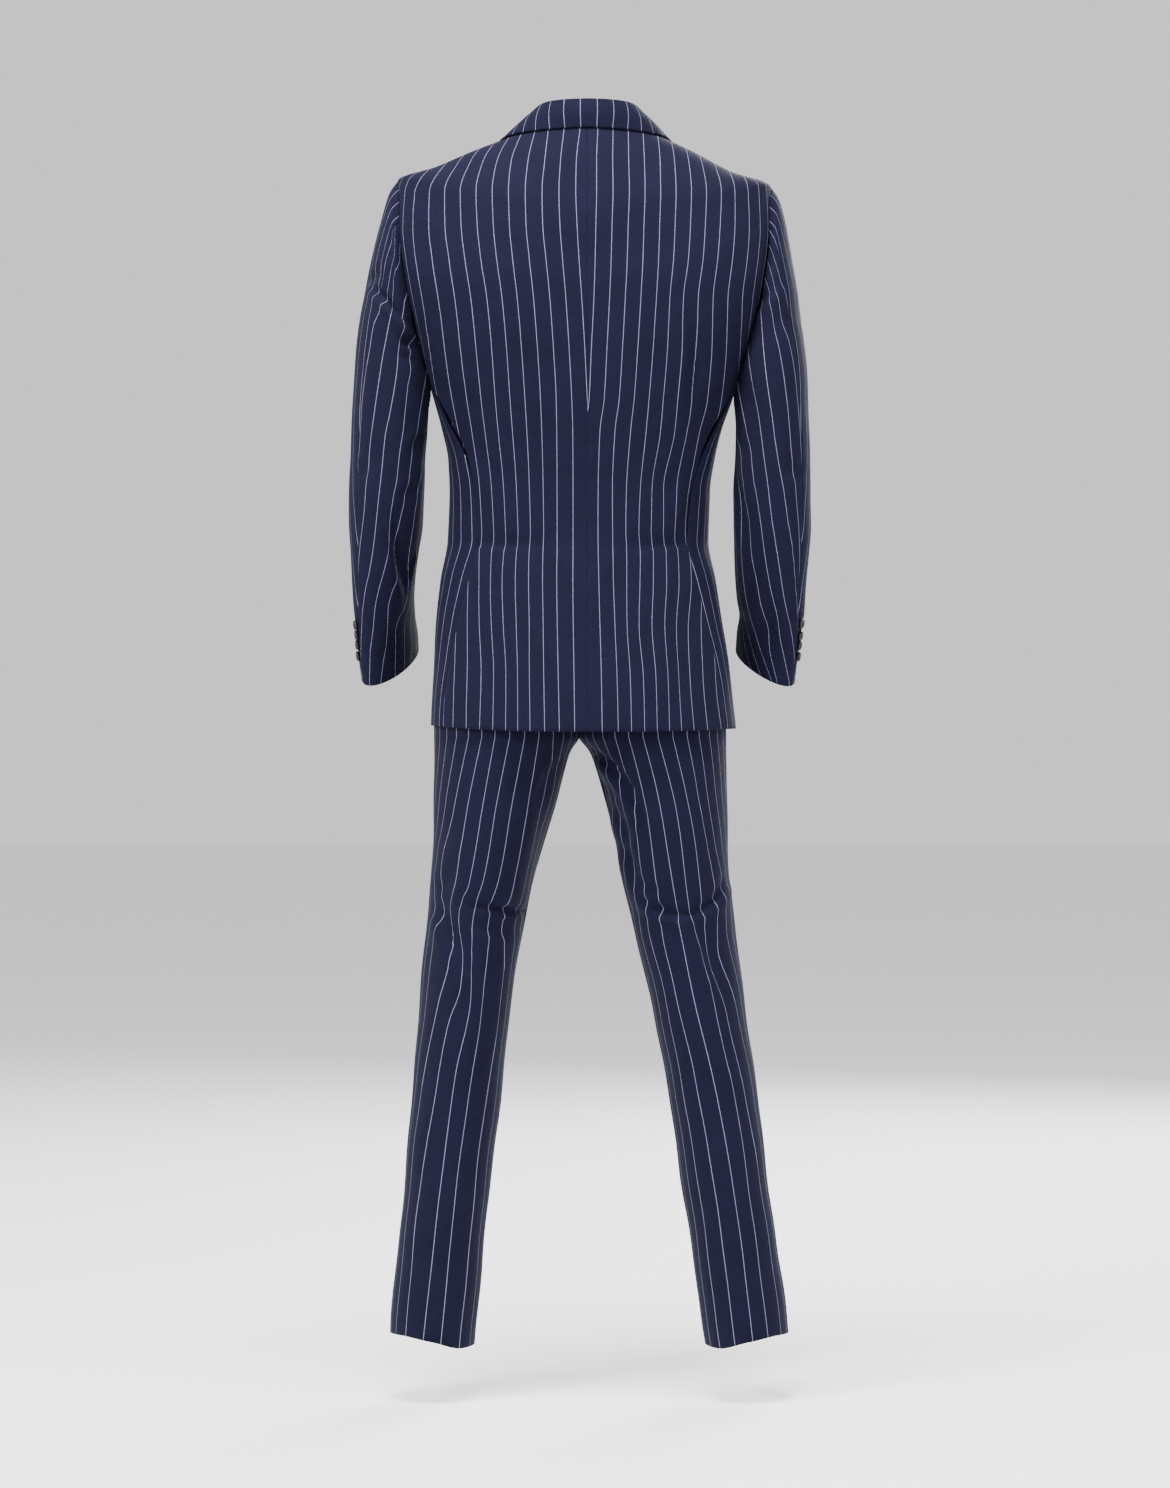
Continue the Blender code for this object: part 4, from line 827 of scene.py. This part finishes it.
def grid_facing(points):
    """Normals of a grid from its own points."""
    return unit(np.cross(np.gradient(points, axis=1), np.gradient(points, axis=0)))


# Pinstripes of the under sleeves as they run on the photo's side: places across and down in
# units of 0.204 mm from a corner above the shoulder, from the elbow seam inwards. They slant
# into the seam, and those of the top sleeve meet them there.
SLEEVE_UNIT = 0.000204
SLEEVE_CORNER = {1: (0.3029, -0.0433), -1: (-0.1683, -0.0433)}
SLEEVE_STRIPES = {
    1: """
    330,560 290,700 245,880 205,980 185,1100 160,1240 140,1400 130,1560 100,1900 60,2300
      20,2700 -20,3100 /
    360,590 328,680 322,780 318,880 300,970 265,1150 245,1290 215,1500 190,1670 165,1880
      150,2060 118,2290 90,2600 60,3100 /
    420,700 400,830 400,960 365,1110 355,1210 335,1350 308,1500 280,1630 255,1870 235,2030
      205,2280 180,2430 150,2560 128,2720 110,3100 /
    490,800 470,980 445,1110 440,1230 415,1340 395,1500 385,1600 365,1720 345,1900 320,2030
      305,2180 295,2300 270,2420 235,2540 210,2650 195,2780 175,2920 168,3080 /
    560,900 530,1100 505,1300 485,1460 460,1640 440,1730 425,1800 405,1940 365,2160 350,2300
      340,2460 310,2560 288,2640 278,2750 270,2870 250,2980 232,3130 /
    620,1000 590,1200 560,1400 520,1600 500,1720 480,1900 445,2120 425,2310 415,2500
      380,2650 345,2720 325,2800 322,2900 318,3100""",
    -1: """
    200,560 240,700 270,880 300,1040 320,1130 340,1250 360,1390 375,1500 385,1600 395,1740
      415,1890 440,2200 470,3100 /
    170,560 192,700 210,800 212,900 210,990 220,1100 235,1250 255,1400 270,1500 290,1650
      320,1830 350,1980 375,2150 400,2290 420,2460 440,2700 460,3100 /
    100,700 130,900 131,1060 134,1150 150,1290 175,1420 190,1500 205,1600 225,1750 250,1930
      270,2100 300,2280 325,2430 350,2580 375,2690 400,2790 450,3100 /
    40,900 62,1100 80,1300 100,1430 112,1500 130,1620 150,1720 165,1870 190,2020 215,2180
      240,2350 275,2550 315,2710 332,2830 360,2950 395,3100 /
    -40,1000 0,1200 40,1450 80,1650 102,1760 125,1950 135,2100 150,2240 165,2360 190,2480
      215,2630 250,2760 270,2900 318,3100 /
    -100,1100 -40,1400 20,1700 60,1850 78,2000 95,2200 105,2360 125,2560 150,2680 195,2820
      225,2920 290,3100"""}
SEAM_PHASE = {1: columns("""
    z phase*
      -700   3.3
      -584     2
    -510.5     1
      -372     0
      -250  -0.3
      -145 -0.45
         0  -0.5"""),
              -1: columns("""
    z phase*
      -700   3.2
      -590     2
    -506.2     1
      -374     0
      -250  -0.3
      -145 -0.45
         0  -0.5""")}


def sleeve_stripes(points, arc, part, side):
    """Cloth coordinates of a sleeve panel; arc is the distance from the elbow seam."""
    if part == "top":
        phase = read(SEAM_PHASE[side], "phase", points[:, -1:, 2], "z")
        number = phase + arc / STRIPE_PITCH
    else:
        corner_x, corner_z = SLEEVE_CORNER[side]
        marks = lines_at(SLEEVE_STRIPES[side], (corner_z - points[..., 2]) / SLEEVE_UNIT) * side
        place = (corner_x - points[..., 0]) / SLEEVE_UNIT * side
        # the marks cover the five eighths of the panel beside the elbow seam
        near = points.shape[1] * 5 // 8
        number = numbered(place[:, :near], arc[:, :near], marks[:, :near])
        rest = number[:, -1:] + (arc[:, near:] - arc[:, near - 1:near]) / STRIPE_PITCH
        number = np.concatenate((number, rest), axis=1)
    return cloth_at(points, number * STRIPE_PITCH)


SLEEVE_CREASES = columns("""
    face* x0 z0 x1 z1 x2 z2 width depth
     1  266 -190  243 -214  216 -240   5 -7.4
     1  256 -172  262 -181  274 -186   6   -3
     1  228 -258  219 -266  210 -262 5.6 -6.4
     1  196 -262  188 -300  194 -345  12  4.2
     1  200 -368  208 -382  216 -400   5   -4
     1  233 -470  240 -520  212 -585   6 -5.5
     1  205 -430  214 -446  228 -452   7   -3
     1  262 -400  268 -420  282 -425   8 -2.2
     1  222 -600  236 -618  244 -650  10   -3
     1 -199 -226 -214 -204 -238 -186   7 -3.4
     1 -192 -300 -196 -338 -204 -366   6 -3.6
     1 -174 -255 -168 -300 -174 -345  12  4.2
     1 -190 -398 -193 -431 -197 -470   5  3.8
     1 -183 -415 -187 -462 -194 -505   6 -4.5
     1 -216 -596 -228 -612 -214 -640  12 -3.4
     1 -240 -410 -250 -424 -264 -424   8   -2
    -1  222 -425  245 -440  270 -432   9   -4
    -1  220 -470  246 -462  272 -470   8 -3.5
    -1  224 -505  246 -512  270 -500   9 -2.5
    -1 -198 -425 -222 -440 -250 -430   9   -4
    -1 -196 -470 -224 -460 -252 -472   8 -3.5
    -1 -200 -507 -224 -514 -248 -502   9 -2.5
    -1  232 -215  250 -205  270 -180   8 -3.5
    -1 -222 -215 -240 -205 -258 -180   8 -3.5""")
STATION = np.concatenate((np.linspace(0, 2, 20)[:-1], np.linspace(2, 15, 150)))
# the sleeve hangs against the body behind the armpit: push towards it, level, reach
UNDERARM_TUCK = {1: (0.0045, -0.285, 0.040), -1: (0.0075, -0.298, 0.048)}
TUCK_SIDE, TUCK_BACK, TUCK_HEAD = (0.205, 0.245), (-0.01, 0.02), 0.5
TURNED_IN, TURNED_UNDER = 0.003, 0.0022


def tucked(points, side):
    """Sleeve points pushed against the body behind the armpit."""
    push, level, reach = UNDERARM_TUCK[side]
    near = 1 - smooth_step(np.abs(points[..., 0]), *TUCK_SIDE)
    behind = smooth_step(points[..., 1], *TUCK_BACK)
    fade = np.exp(-((points[..., 2] - level) / reach) ** 2) * near * behind
    points = points.copy()
    points[..., 0] -= side * push * fade * smooth_step(STATION, 0, TUCK_HEAD)[:, None]
    return points


for side, word in SIDES:
    for part, count, flat, area in (("top", 52, (0.200, 0.620), 0.098),
                                    ("under", 40, (0.165, 0.560), 0.0757)):
        form = tucked(sleeve_face(side, word, part, STATION, shares(count)), side)
        facing = grid_facing(form) * -side
        arc = arcs(form, 1)
        arc = arc[:, -1:] - arc if part == "top" else arc
        cloth = sleeve_stripes(form, arc, part, side)
        shaped = folded(form, facing, smooth_step(STATION, 0, 2)[:, None])
        shaped = creased(shaped, facing, SLEEVE_CREASES)
        shaped = seamed(eased(shaped, facing, 0.0006), facing)
        # the seam allowance at the armhole lies under the body's edge
        allowance = (shaped[:1] + unit(shaped[:1] - shaped[1:2]) * TURNED_IN
                     - facing[:1] * TURNED_UNDER)
        shaped = np.concatenate((allowance, shaped))
        facing = np.concatenate((facing[:1], facing))
        cloth = np.concatenate((cloth[:1] - np.array((0.0, TURNED_IN)), cloth))
        cloth_piece(f"jacket_{part}_sleeve_{word}", shaped, facing, cloth, SLEEVE_WALL)

# Waistcoat: two foreparts that button to the neck of a deep V and end in points, and a plain
# back in two halves.
WAISTCOAT_WALL = 0.0014
WAISTCOAT_INSET = columns("""
    level inset
     10 4.8
     30 4.6
     50 3.6
     90 4.1
    140 5.6
    250 6.2
    400 6.4
    500 6.4
    600 6.4""")
WAISTCOAT_EDGE = columns("""
    level x
     12  79
     50  70
    150  44
    240  15
    275  -8
    300 -12
    520 -12
    545  -2
    575  26""")
WAISTCOAT_EASE, TROUSER_EASE = 0.0048, 0.0105
WAISTCOAT_NECK, WAISTCOAT_TIP, WAISTCOAT_UNDERARM = 0.012, 0.072, 0.330
WAISTCOAT_HEM, WAISTCOAT_POINT, POINT_FROM = 0.520, 0.570, 0.36
WAISTCOAT_ARM_BACK, WAISTCOAT_ARM_FRONT = 27.0, 30.0
WAISTCOAT_LAP, WAISTCOAT_LAP_LEVELS = (0.016, 0.050), (0.20, 0.26)


def front_ease(azimuth, level):
    """1 at the centre front, where the layers under the jacket stand further in, else 0."""
    off = np.abs(np.abs(azimuth) - 180.0)
    return (1 - smooth_step(off, 9.0, 34.0)) * smooth_step(level, 0.20, 0.27)


def waistcoat_rows(face):
    """Levels and outer-edge azimuths of a waistcoat panel."""
    angle = math.pi * np.linspace(0, 1, 41)
    level = WAISTCOAT_TIP + (WAISTCOAT_UNDERARM - WAISTCOAT_TIP) * (1 - np.cos(angle)) / 2
    reach = WAISTCOAT_ARM_BACK if face > 0 else WAISTCOAT_ARM_FRONT
    edge = 90.0 - face * reach * np.sin(angle) ** 0.8
    shoulder = np.linspace(WAISTCOAT_NECK, WAISTCOAT_TIP, 11)[:-1]
    lower = np.linspace(WAISTCOAT_UNDERARM, WAISTCOAT_HEM, 30)[1:]
    return (np.concatenate((shoulder, level, lower)),
            np.concatenate((np.full(10, 90.0), edge, np.full(29, 90.0))))


for side, word in SIDES:
    for part, flat, area in (("back", (0.270, 0.530), 0.112), ("front", (0.290, 0.600), 0.116)):
        face = 1 if part == "back" else -1
        levels, edge = waistcoat_rows(face)
        share = shares(28)
        level = levels[:, None]
        inset = 0.0
        if part == "back":
            azimuth = across(np.zeros_like(edge), edge, share) * side
        else:
            drop = smooth_step(level, POINT_FROM, WAISTCOAT_HEM) * (WAISTCOAT_POINT - WAISTCOAT_HEM)
            level = level + drop * smooth_step(share, 0.25, 0.95)
            front = azimuth_at(read(WAISTCOAT_EDGE, "x", level[:, -1]), level[:, -1])
            azimuth = across(edge, front, share) * side
            x = torso(azimuth, level)[..., 0]
            under = 1 - smooth_step(np.abs(x), *WAISTCOAT_LAP)
            under = under * smooth_step(level, *WAISTCOAT_LAP_LEVELS)
            inset = under * (WAISTCOAT_WALL + LIE if side < 0 else 0.0)
        inset = (inset + read(WAISTCOAT_INSET, "inset", level)
                 + WAISTCOAT_EASE * front_ease(azimuth, level))
        form, facing = on_torso(azimuth, level, -inset)
        if part == "front":
            cloth = laid(form, start=0.010, column=-1, way=-1)
        else:
            cloth = laid(form, start=0.010)
        cloth_piece(f"waistcoat_{part}_{word}", folded(form, facing), facing, cloth,
                    WAISTCOAT_WALL)

# Trousers: two backs and two fronts cut straight in the leg, on a waistband that buttons over
# a fly. They break behind the knee and bunch a little at the inside of the thigh.
TROUSER_WALL, WAISTBAND_WALL, FLY_WALL = 0.0013, 0.0018, 0.0010
WAISTBAND_TOP, WAISTBAND_FOOT, FLY_FOOT = 0.462, 0.500, 0.636
WAISTBAND_END = 179.6
FORK_LEVEL, FORK_BLEND = 0.745, 0.640
FLY_WIDTH, FLY_LAP = 0.034, 0.004
LEGS = columns("""
    drop left_out left_in right_out right_in front back
     745 188.3   9.6   -171   11.2 112 106
     762 188.3  21.2 -171.2   -2.4 108 105
     784 188.4  27.8 -172.2  -10.5 105 103
     821 189.5  37.7 -173.3  -21.6 101 100
     858   191  48.8 -173.8  -30.2  97  96
     895   193  58.6   -175  -38.9  93  92
     932   195  68.5 -177.5  -46.3  89  88
     969 198.1  77.2 -181.2  -54.9  85  84
    1006 201.9  84.6 -185.8  -63.6  82  82
    1043 205.6  90.7 -190.7  -72.2  79  81
    1080 209.2  95.7   -196  -81.5  76  81
    1130   213 100.6 -203.1  -90.7  74  80
    1192   217 106.8 -211.7 -100.6  72  77
    1253 221.8 114.2 -218.8 -109.3  70  74
    1315 227.8 121.6 -225.5 -118.3  68  71
    1377   234 127.8   -233 -128.5  66  68
    1438   240 133.2 -242.2 -136.6  65  66
    1494 242.8 138.9 -248.8 -145.5  64  65""")
HEM_DROP = LEGS["drop"][-1]
LEG_TOP, FORK_ROWS, LIFT_FROM = WAISTBAND_FOOT + SEAM, (0.730, 0.734), 1.30
HEM_LIFT = columns("""
    angle* lift
    -90  3
    -45  2
      0 12
     45 18
     90 17
    180 16
    270  3""")
HIP_INSET = columns("""
    level left right
    460 10.5 10.5
    580   11   11
    640  8.2   11
    700  5.6 11.6
    740  4.3 11.8""")


def hip_point(azimuth, level):
    """Outer face of the trousers round the hips, under the jacket's form."""
    lean = (1 + np.sin(np.radians(azimuth))) / 2
    inset = read(HIP_INSET, "left", level) * lean + read(HIP_INSET, "right", level) * (1 - lean)
    inset = inset + TROUSER_EASE * front_ease(azimuth, level)
    return on_torso(azimuth, level, -inset)[0]


def leg_face(side, word, face, share):
    """Outer points of a leg panel, from the waistband down to the hem."""
    drop = np.concatenate((np.linspace(LEG_TOP, FORK_ROWS[0], 44),
                           np.linspace(FORK_ROWS[1], HEM_DROP, 160)))[:, None]
    own = np.maximum(drop, FORK_LEVEL)
    outer, inner = (read(LEGS, word + end, own, "drop") for end in ("_out", "_in"))
    parting = smooth_step(drop, FORK_BLEND, FORK_LEVEL)[..., None]
    turn = 90 - 180 * share if face == "back" else 270 - 180 * share
    around = 90 - 90 * share if face == "back" else 180 - 90 * share
    angle = np.radians(turn)[None, :]
    x = (outer + inner) / 2 + (outer - inner) / 2 * np.sin(angle)
    y = read(LEGS, face, own, "drop") * np.cos(angle)
    lift = read(HEM_LIFT, "lift", turn, "angle")[None, :] * smooth_step(drop, LIFT_FROM, HEM_DROP)
    leg = np.stack((x, y, lift - drop), axis=-1)
    level = np.minimum(drop, FORK_LEVEL) + 0 * x
    hip = hip_point(np.broadcast_to(around * side, level.shape), level)
    return hip * (1 - parting) + leg * parting


# Where the pinstripes run on the back of each leg, from the hip down: places across and down
# in units of 0.404 mm from a corner beside the seat, numbered from the outside in on the left
# leg and from the inside out on the right
LEG_UNIT = 0.000404
LEG_CORNER = {1: (0.2515, -0.735), -1: (-0.0030, -0.735)}
LEG_STRIPES = {
    1: """
    265,20 220,240 165,480 178,540 150,640 120,830 85,1030 45,1270 5,1700 -10,1880 /
    305,20 265,220 225,450 200,540 205,600 212,660 170,830 130,1030 90,1270 50,1700 36,1880 /
    345,20 310,220 265,470 240,520 232,570 247,700 240,780 205,880 150,1180 105,1470 68,1880 /
    390,20 350,220 310,450 288,520 275,600 272,800 225,1040 185,1340 155,1600 122,1880 /
    435,20 395,230 355,450 330,545 325,640 305,830 262,1130 222,1420 178,1880 /
    477,20 430,300 385,540 368,600 372,700 345,940 310,1170 275,1470 235,1880 /
    520,20 508,180 485,300 450,470 435,540 418,600 420,700 392,940 356,1170 322,1470
      284,1880""",
    -1: """
    75,20 120,200 155,430 172,580 225,790 262,990 325,1370 370,1700 395,1880 /
    115,20 160,200 195,430 205,540 250,760 310,1020 355,1260 405,1600 440,1880 /
    158,20 200,180 240,410 265,570 310,800 370,1050 420,1310 460,1580 495,1880 /
    203,20 260,250 300,540 340,680 395,920 445,1160 480,1400 545,1880 /
    248,20 305,280 340,530 358,670 410,850 485,1200 545,1560 590,1880 /
    293,20 345,310 382,520 385,650 430,790 505,1060 580,1400 640,1880 /
    330,20 378,350 410,480 412,600 460,740 550,1060 620,1400 690,1880"""}


def leg_stripes(points, side):
    """Cloth coordinates of a leg's back, whose stripes follow the places read for them."""
    corner_x, corner_z = LEG_CORNER[side]
    marks = lines_at(LEG_STRIPES[side], (corner_z - points[..., 2]) / LEG_UNIT) * side
    if side < 0:
        marks = marks[..., ::-1]
    place = (corner_x - points[..., 0]) / LEG_UNIT * side
    arc = arcs(points, 1)
    number = turned_away(numbered(place, arc, marks), points, arc)
    return cloth_at(points, number * STRIPE_PITCH)


LEG_CREASES = columns("""
    face* x0 z0 x1 z1 x2 z2 width depth
     1  156  -946  112  -951   68  -960 4.4 -7.8
     1  178  -950  172  -985  150 -1024   8 -6.4
     1  150  -985  146 -1015  130 -1045   8   -3
     1  138  -966  122  -982   92  -984 6.4   -4
     1  160  -900  172  -918  186  -940   9   -3
     1   60  -800   48  -850   66  -920  10 -2.6
     1   30  -770   50  -790   60  -830   8 -2.6
     1   -4  -760  -56  -796  -64  -848 5.6 -9.2
     1  -64  -936  -92  -968 -140  -956 5.4 -8.4
     1 -124  -958 -160  -950 -172  -914 5.8 -6.6
     1  -26  -826  -46  -850  -50  -888   6 -5.4
     1  -38  -872  -56  -896  -60  -930   6   -5
     1  -56  -915  -72  -930 -100  -930   7 -2.8
     1 -135  -955 -142 -1005 -170 -1060   9 -5.2
     1 -100  -975 -112 -1000 -130 -1020   8 -2.2
    -1   60  -760  100  -775  160  -765   9   -4
    -1   50  -800   90  -806  130  -792   9   -3
    -1  -50  -760  -95  -776 -150  -764   9   -4
    -1  -40  -800  -85  -806 -120  -792   9   -3
    -1   90 -1040  130 -1055  180 -1040  10 -2.6
    -1  -80 -1045 -120 -1060 -165 -1045  10 -2.6
    -1  150 -1415  190 -1432  228 -1420   9   -4
    -1 -155 -1415 -190 -1430 -230 -1420   9   -4
    -1  146 -1450  185 -1462  225 -1455   8   -3
    -1 -150 -1450 -190 -1462 -232 -1455   8   -3""")
for side, word in SIDES:
    for face in ("back", "front"):
        form = leg_face(side, word, face, shares(46))
        facing = grid_facing(form) * -side
        cloth = leg_stripes(form, side) if face == "back" else laid(form, start=0.005)
        shaped = creased(folded(form, facing), facing, LEG_CREASES)
        shaped = seamed(eased(shaped, facing, 0.0009), facing)
        cloth_piece(f"trousers_{face}_{word}", shaped, facing, cloth, TROUSER_WALL)
azimuth = np.linspace(-WAISTBAND_END, WAISTBAND_END, 181)
level = np.linspace(WAISTBAND_TOP, WAISTBAND_FOOT - SEAM, 9)[:, None]
form = hip_point(azimuth, level)
cloth_piece("trousers_waistband", form, torso_normal(azimuth, level), laid(form), WAISTBAND_WALL)
azimuth = azimuth_at(np.linspace(FLY_WIDTH, -FLY_LAP, 12), 0.6)
level = np.linspace(WAISTBAND_FOOT + 2 * SEAM, FLY_FOOT, 30)[:, None]
facing = torso_normal(azimuth, level)
form = hip_point(azimuth, level) + facing * (LIE + FLY_WALL)
cloth_piece("trousers_fly", form, facing, laid(form), FLY_WALL)

# Buttons: dark horn, turned with a raised rim and a dished middle with four holes. Two close
# the jacket, five the waistcoat, one the waistband, and four sit on each cuff.
horn = bpy.data.materials.new("dark_horn_polished")
horn.use_nodes = True
tree = horn.node_tree
shader = tree.nodes["Principled BSDF"]
place = add_node(tree, "ShaderNodeTexCoord").outputs["Object"]
grain = add_node(tree, "ShaderNodeTexNoise", {"Vector": place, "Scale": 420.0, "Detail": 4.0})
tint = mix(tree, grain.outputs["Fac"], linear("#070608"), linear("#151216"))
tree.links.new(tint, shader.inputs["Base Color"])
shader.inputs["Roughness"].default_value = 0.45
shader.inputs["Specular IOR Level"].default_value = 0.25
# shares of the radius and of the thickness
HOLE_OUT, HOLE_RADIUS, HOLE_HEIGHT = 0.24, 0.10, 0.63
BUTTON_PROFILE = ((0.0, 0.62), (0.55, 0.60), (0.66, 0.74), (0.78, 0.98), (0.90, 1.0),
                  (0.98, 0.78), (1.0, 0.50), (0.97, 0.20), (0.86, 0.0))


def horn_button(name, centre, normal, radius, thickness):
    """Turned button with four marks for its holes, standing for its plain node."""
    bm = bmesh.new()
    last = None
    for out, up in BUTTON_PROFILE:
        corner = bm.verts.new((out * radius, 0.0, up * thickness))
        if last:
            bm.edges.new((last, corner))
        last = corner
    bmesh.ops.spin(bm, geom=bm.verts[:] + bm.edges[:], cent=(0, 0, 0), axis=(0, 0, 1),
                   angle=2 * math.pi, steps=28, use_merge=True)
    bmesh.ops.remove_doubles(bm, verts=bm.verts, dist=1e-6)
    holes = [e for e in bm.edges if e.is_boundary]
    bmesh.ops.holes_fill(bm, edges=holes)
    for turn in range(4):
        angle = math.pi / 4 + turn * math.pi / 2
        spot = (HOLE_OUT * radius * math.cos(angle), HOLE_OUT * radius * math.sin(angle),
                HOLE_HEIGHT * thickness)
        bmesh.ops.create_cone(bm, cap_ends=True, segments=8, radius1=HOLE_RADIUS * radius,
                              radius2=0.09 * radius, depth=0.05 * thickness,
                              matrix=Matrix.Translation(spot))
    bmesh.ops.recalc_face_normals(bm, faces=bm.faces)
    turned = Vector(normal).to_track_quat("Z", "Y").to_matrix().to_4x4()
    bmesh.ops.transform(bm, matrix=Matrix.Translation(Vector(centre)) @ turned, verts=bm.verts)
    mesh = bpy.data.meshes.new(name)
    bm.to_mesh(mesh)
    bm.free()
    mesh.shade_smooth()
    mesh.set_sharp_from_angle(angle=math.radians(40))
    mesh.materials.append(horn)
    piece = bpy.data.objects.new(name + "_turned", mesh)
    bpy.context.scene.collection.objects.link(piece)
    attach(piece, "root")
    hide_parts(name)


BUTTON_RADIUS, BUTTON_THICKNESS = 0.0100, 0.0028
CUFF_BUTTON_RADIUS, CUFF_BUTTON_PITCH, CUFF_LOWEST_BUTTON = 0.0062, 0.01275, -0.6430
WAISTCOAT_BUTTON_RADIUS = 0.0070
JACKET_BUTTON_LEVELS, WAISTCOAT_BUTTON_LEVELS = (0.408, 0.508), (0.300, 0.500)
WAISTBAND_BUTTON_RADIUS, WAISTBAND_BUTTON_THICKNESS = 0.0075, 0.0020


def front_buttons(name, levels, insets, radius):
    """Buttons down the centre line of a front, on its outer face."""
    for number, (level, inset) in enumerate(zip(levels, insets)):
        centre, normal = on_torso(azimuth_at(0.0, level), level, 1.5 * SEAM - inset)
        horn_button(f"{name}_{number + 1}", centre, normal, radius, BUTTON_THICKNESS)


front_buttons("jacket_button", JACKET_BUTTON_LEVELS, (0.0, 0.0), BUTTON_RADIUS)
levels = np.linspace(*WAISTCOAT_BUTTON_LEVELS, 5)
front_buttons("waistcoat_button", levels,
              read(WAISTCOAT_INSET, "inset", levels) + WAISTCOAT_EASE * front_ease(180.0, levels),
              WAISTCOAT_BUTTON_RADIUS)
level = (WAISTBAND_TOP + WAISTBAND_FOOT) / 2
azimuth = azimuth_at(FLY_LAP, level)
normal = torso_normal(azimuth, level)
horn_button("trousers_waistband_button", hip_point(azimuth, level) + normal * 2 * SEAM, normal,
            WAISTBAND_BUTTON_RADIUS, WAISTBAND_BUTTON_THICKNESS)
for side, word in SIDES:
    station = np.linspace(10, 15, 60)
    near = sleeve_face(side, word, "top", station, np.array([0.88, 0.90, 0.962, 1.0]))
    facing = grid_facing(near) * -side
    for number in range(4):
        z = CUFF_LOWEST_BUTTON + number * CUFF_BUTTON_PITCH
        row = int(np.argmin(np.abs(near[:, 2, 2] - z)))
        centre = near[row, 2] + facing[row, 2] * 2 * SEAM
        horn_button(f"jacket_cuff_button_{word}_{number + 1}", centre, facing[row, 2],
                    CUFF_BUTTON_RADIUS, BUTTON_THICKNESS)
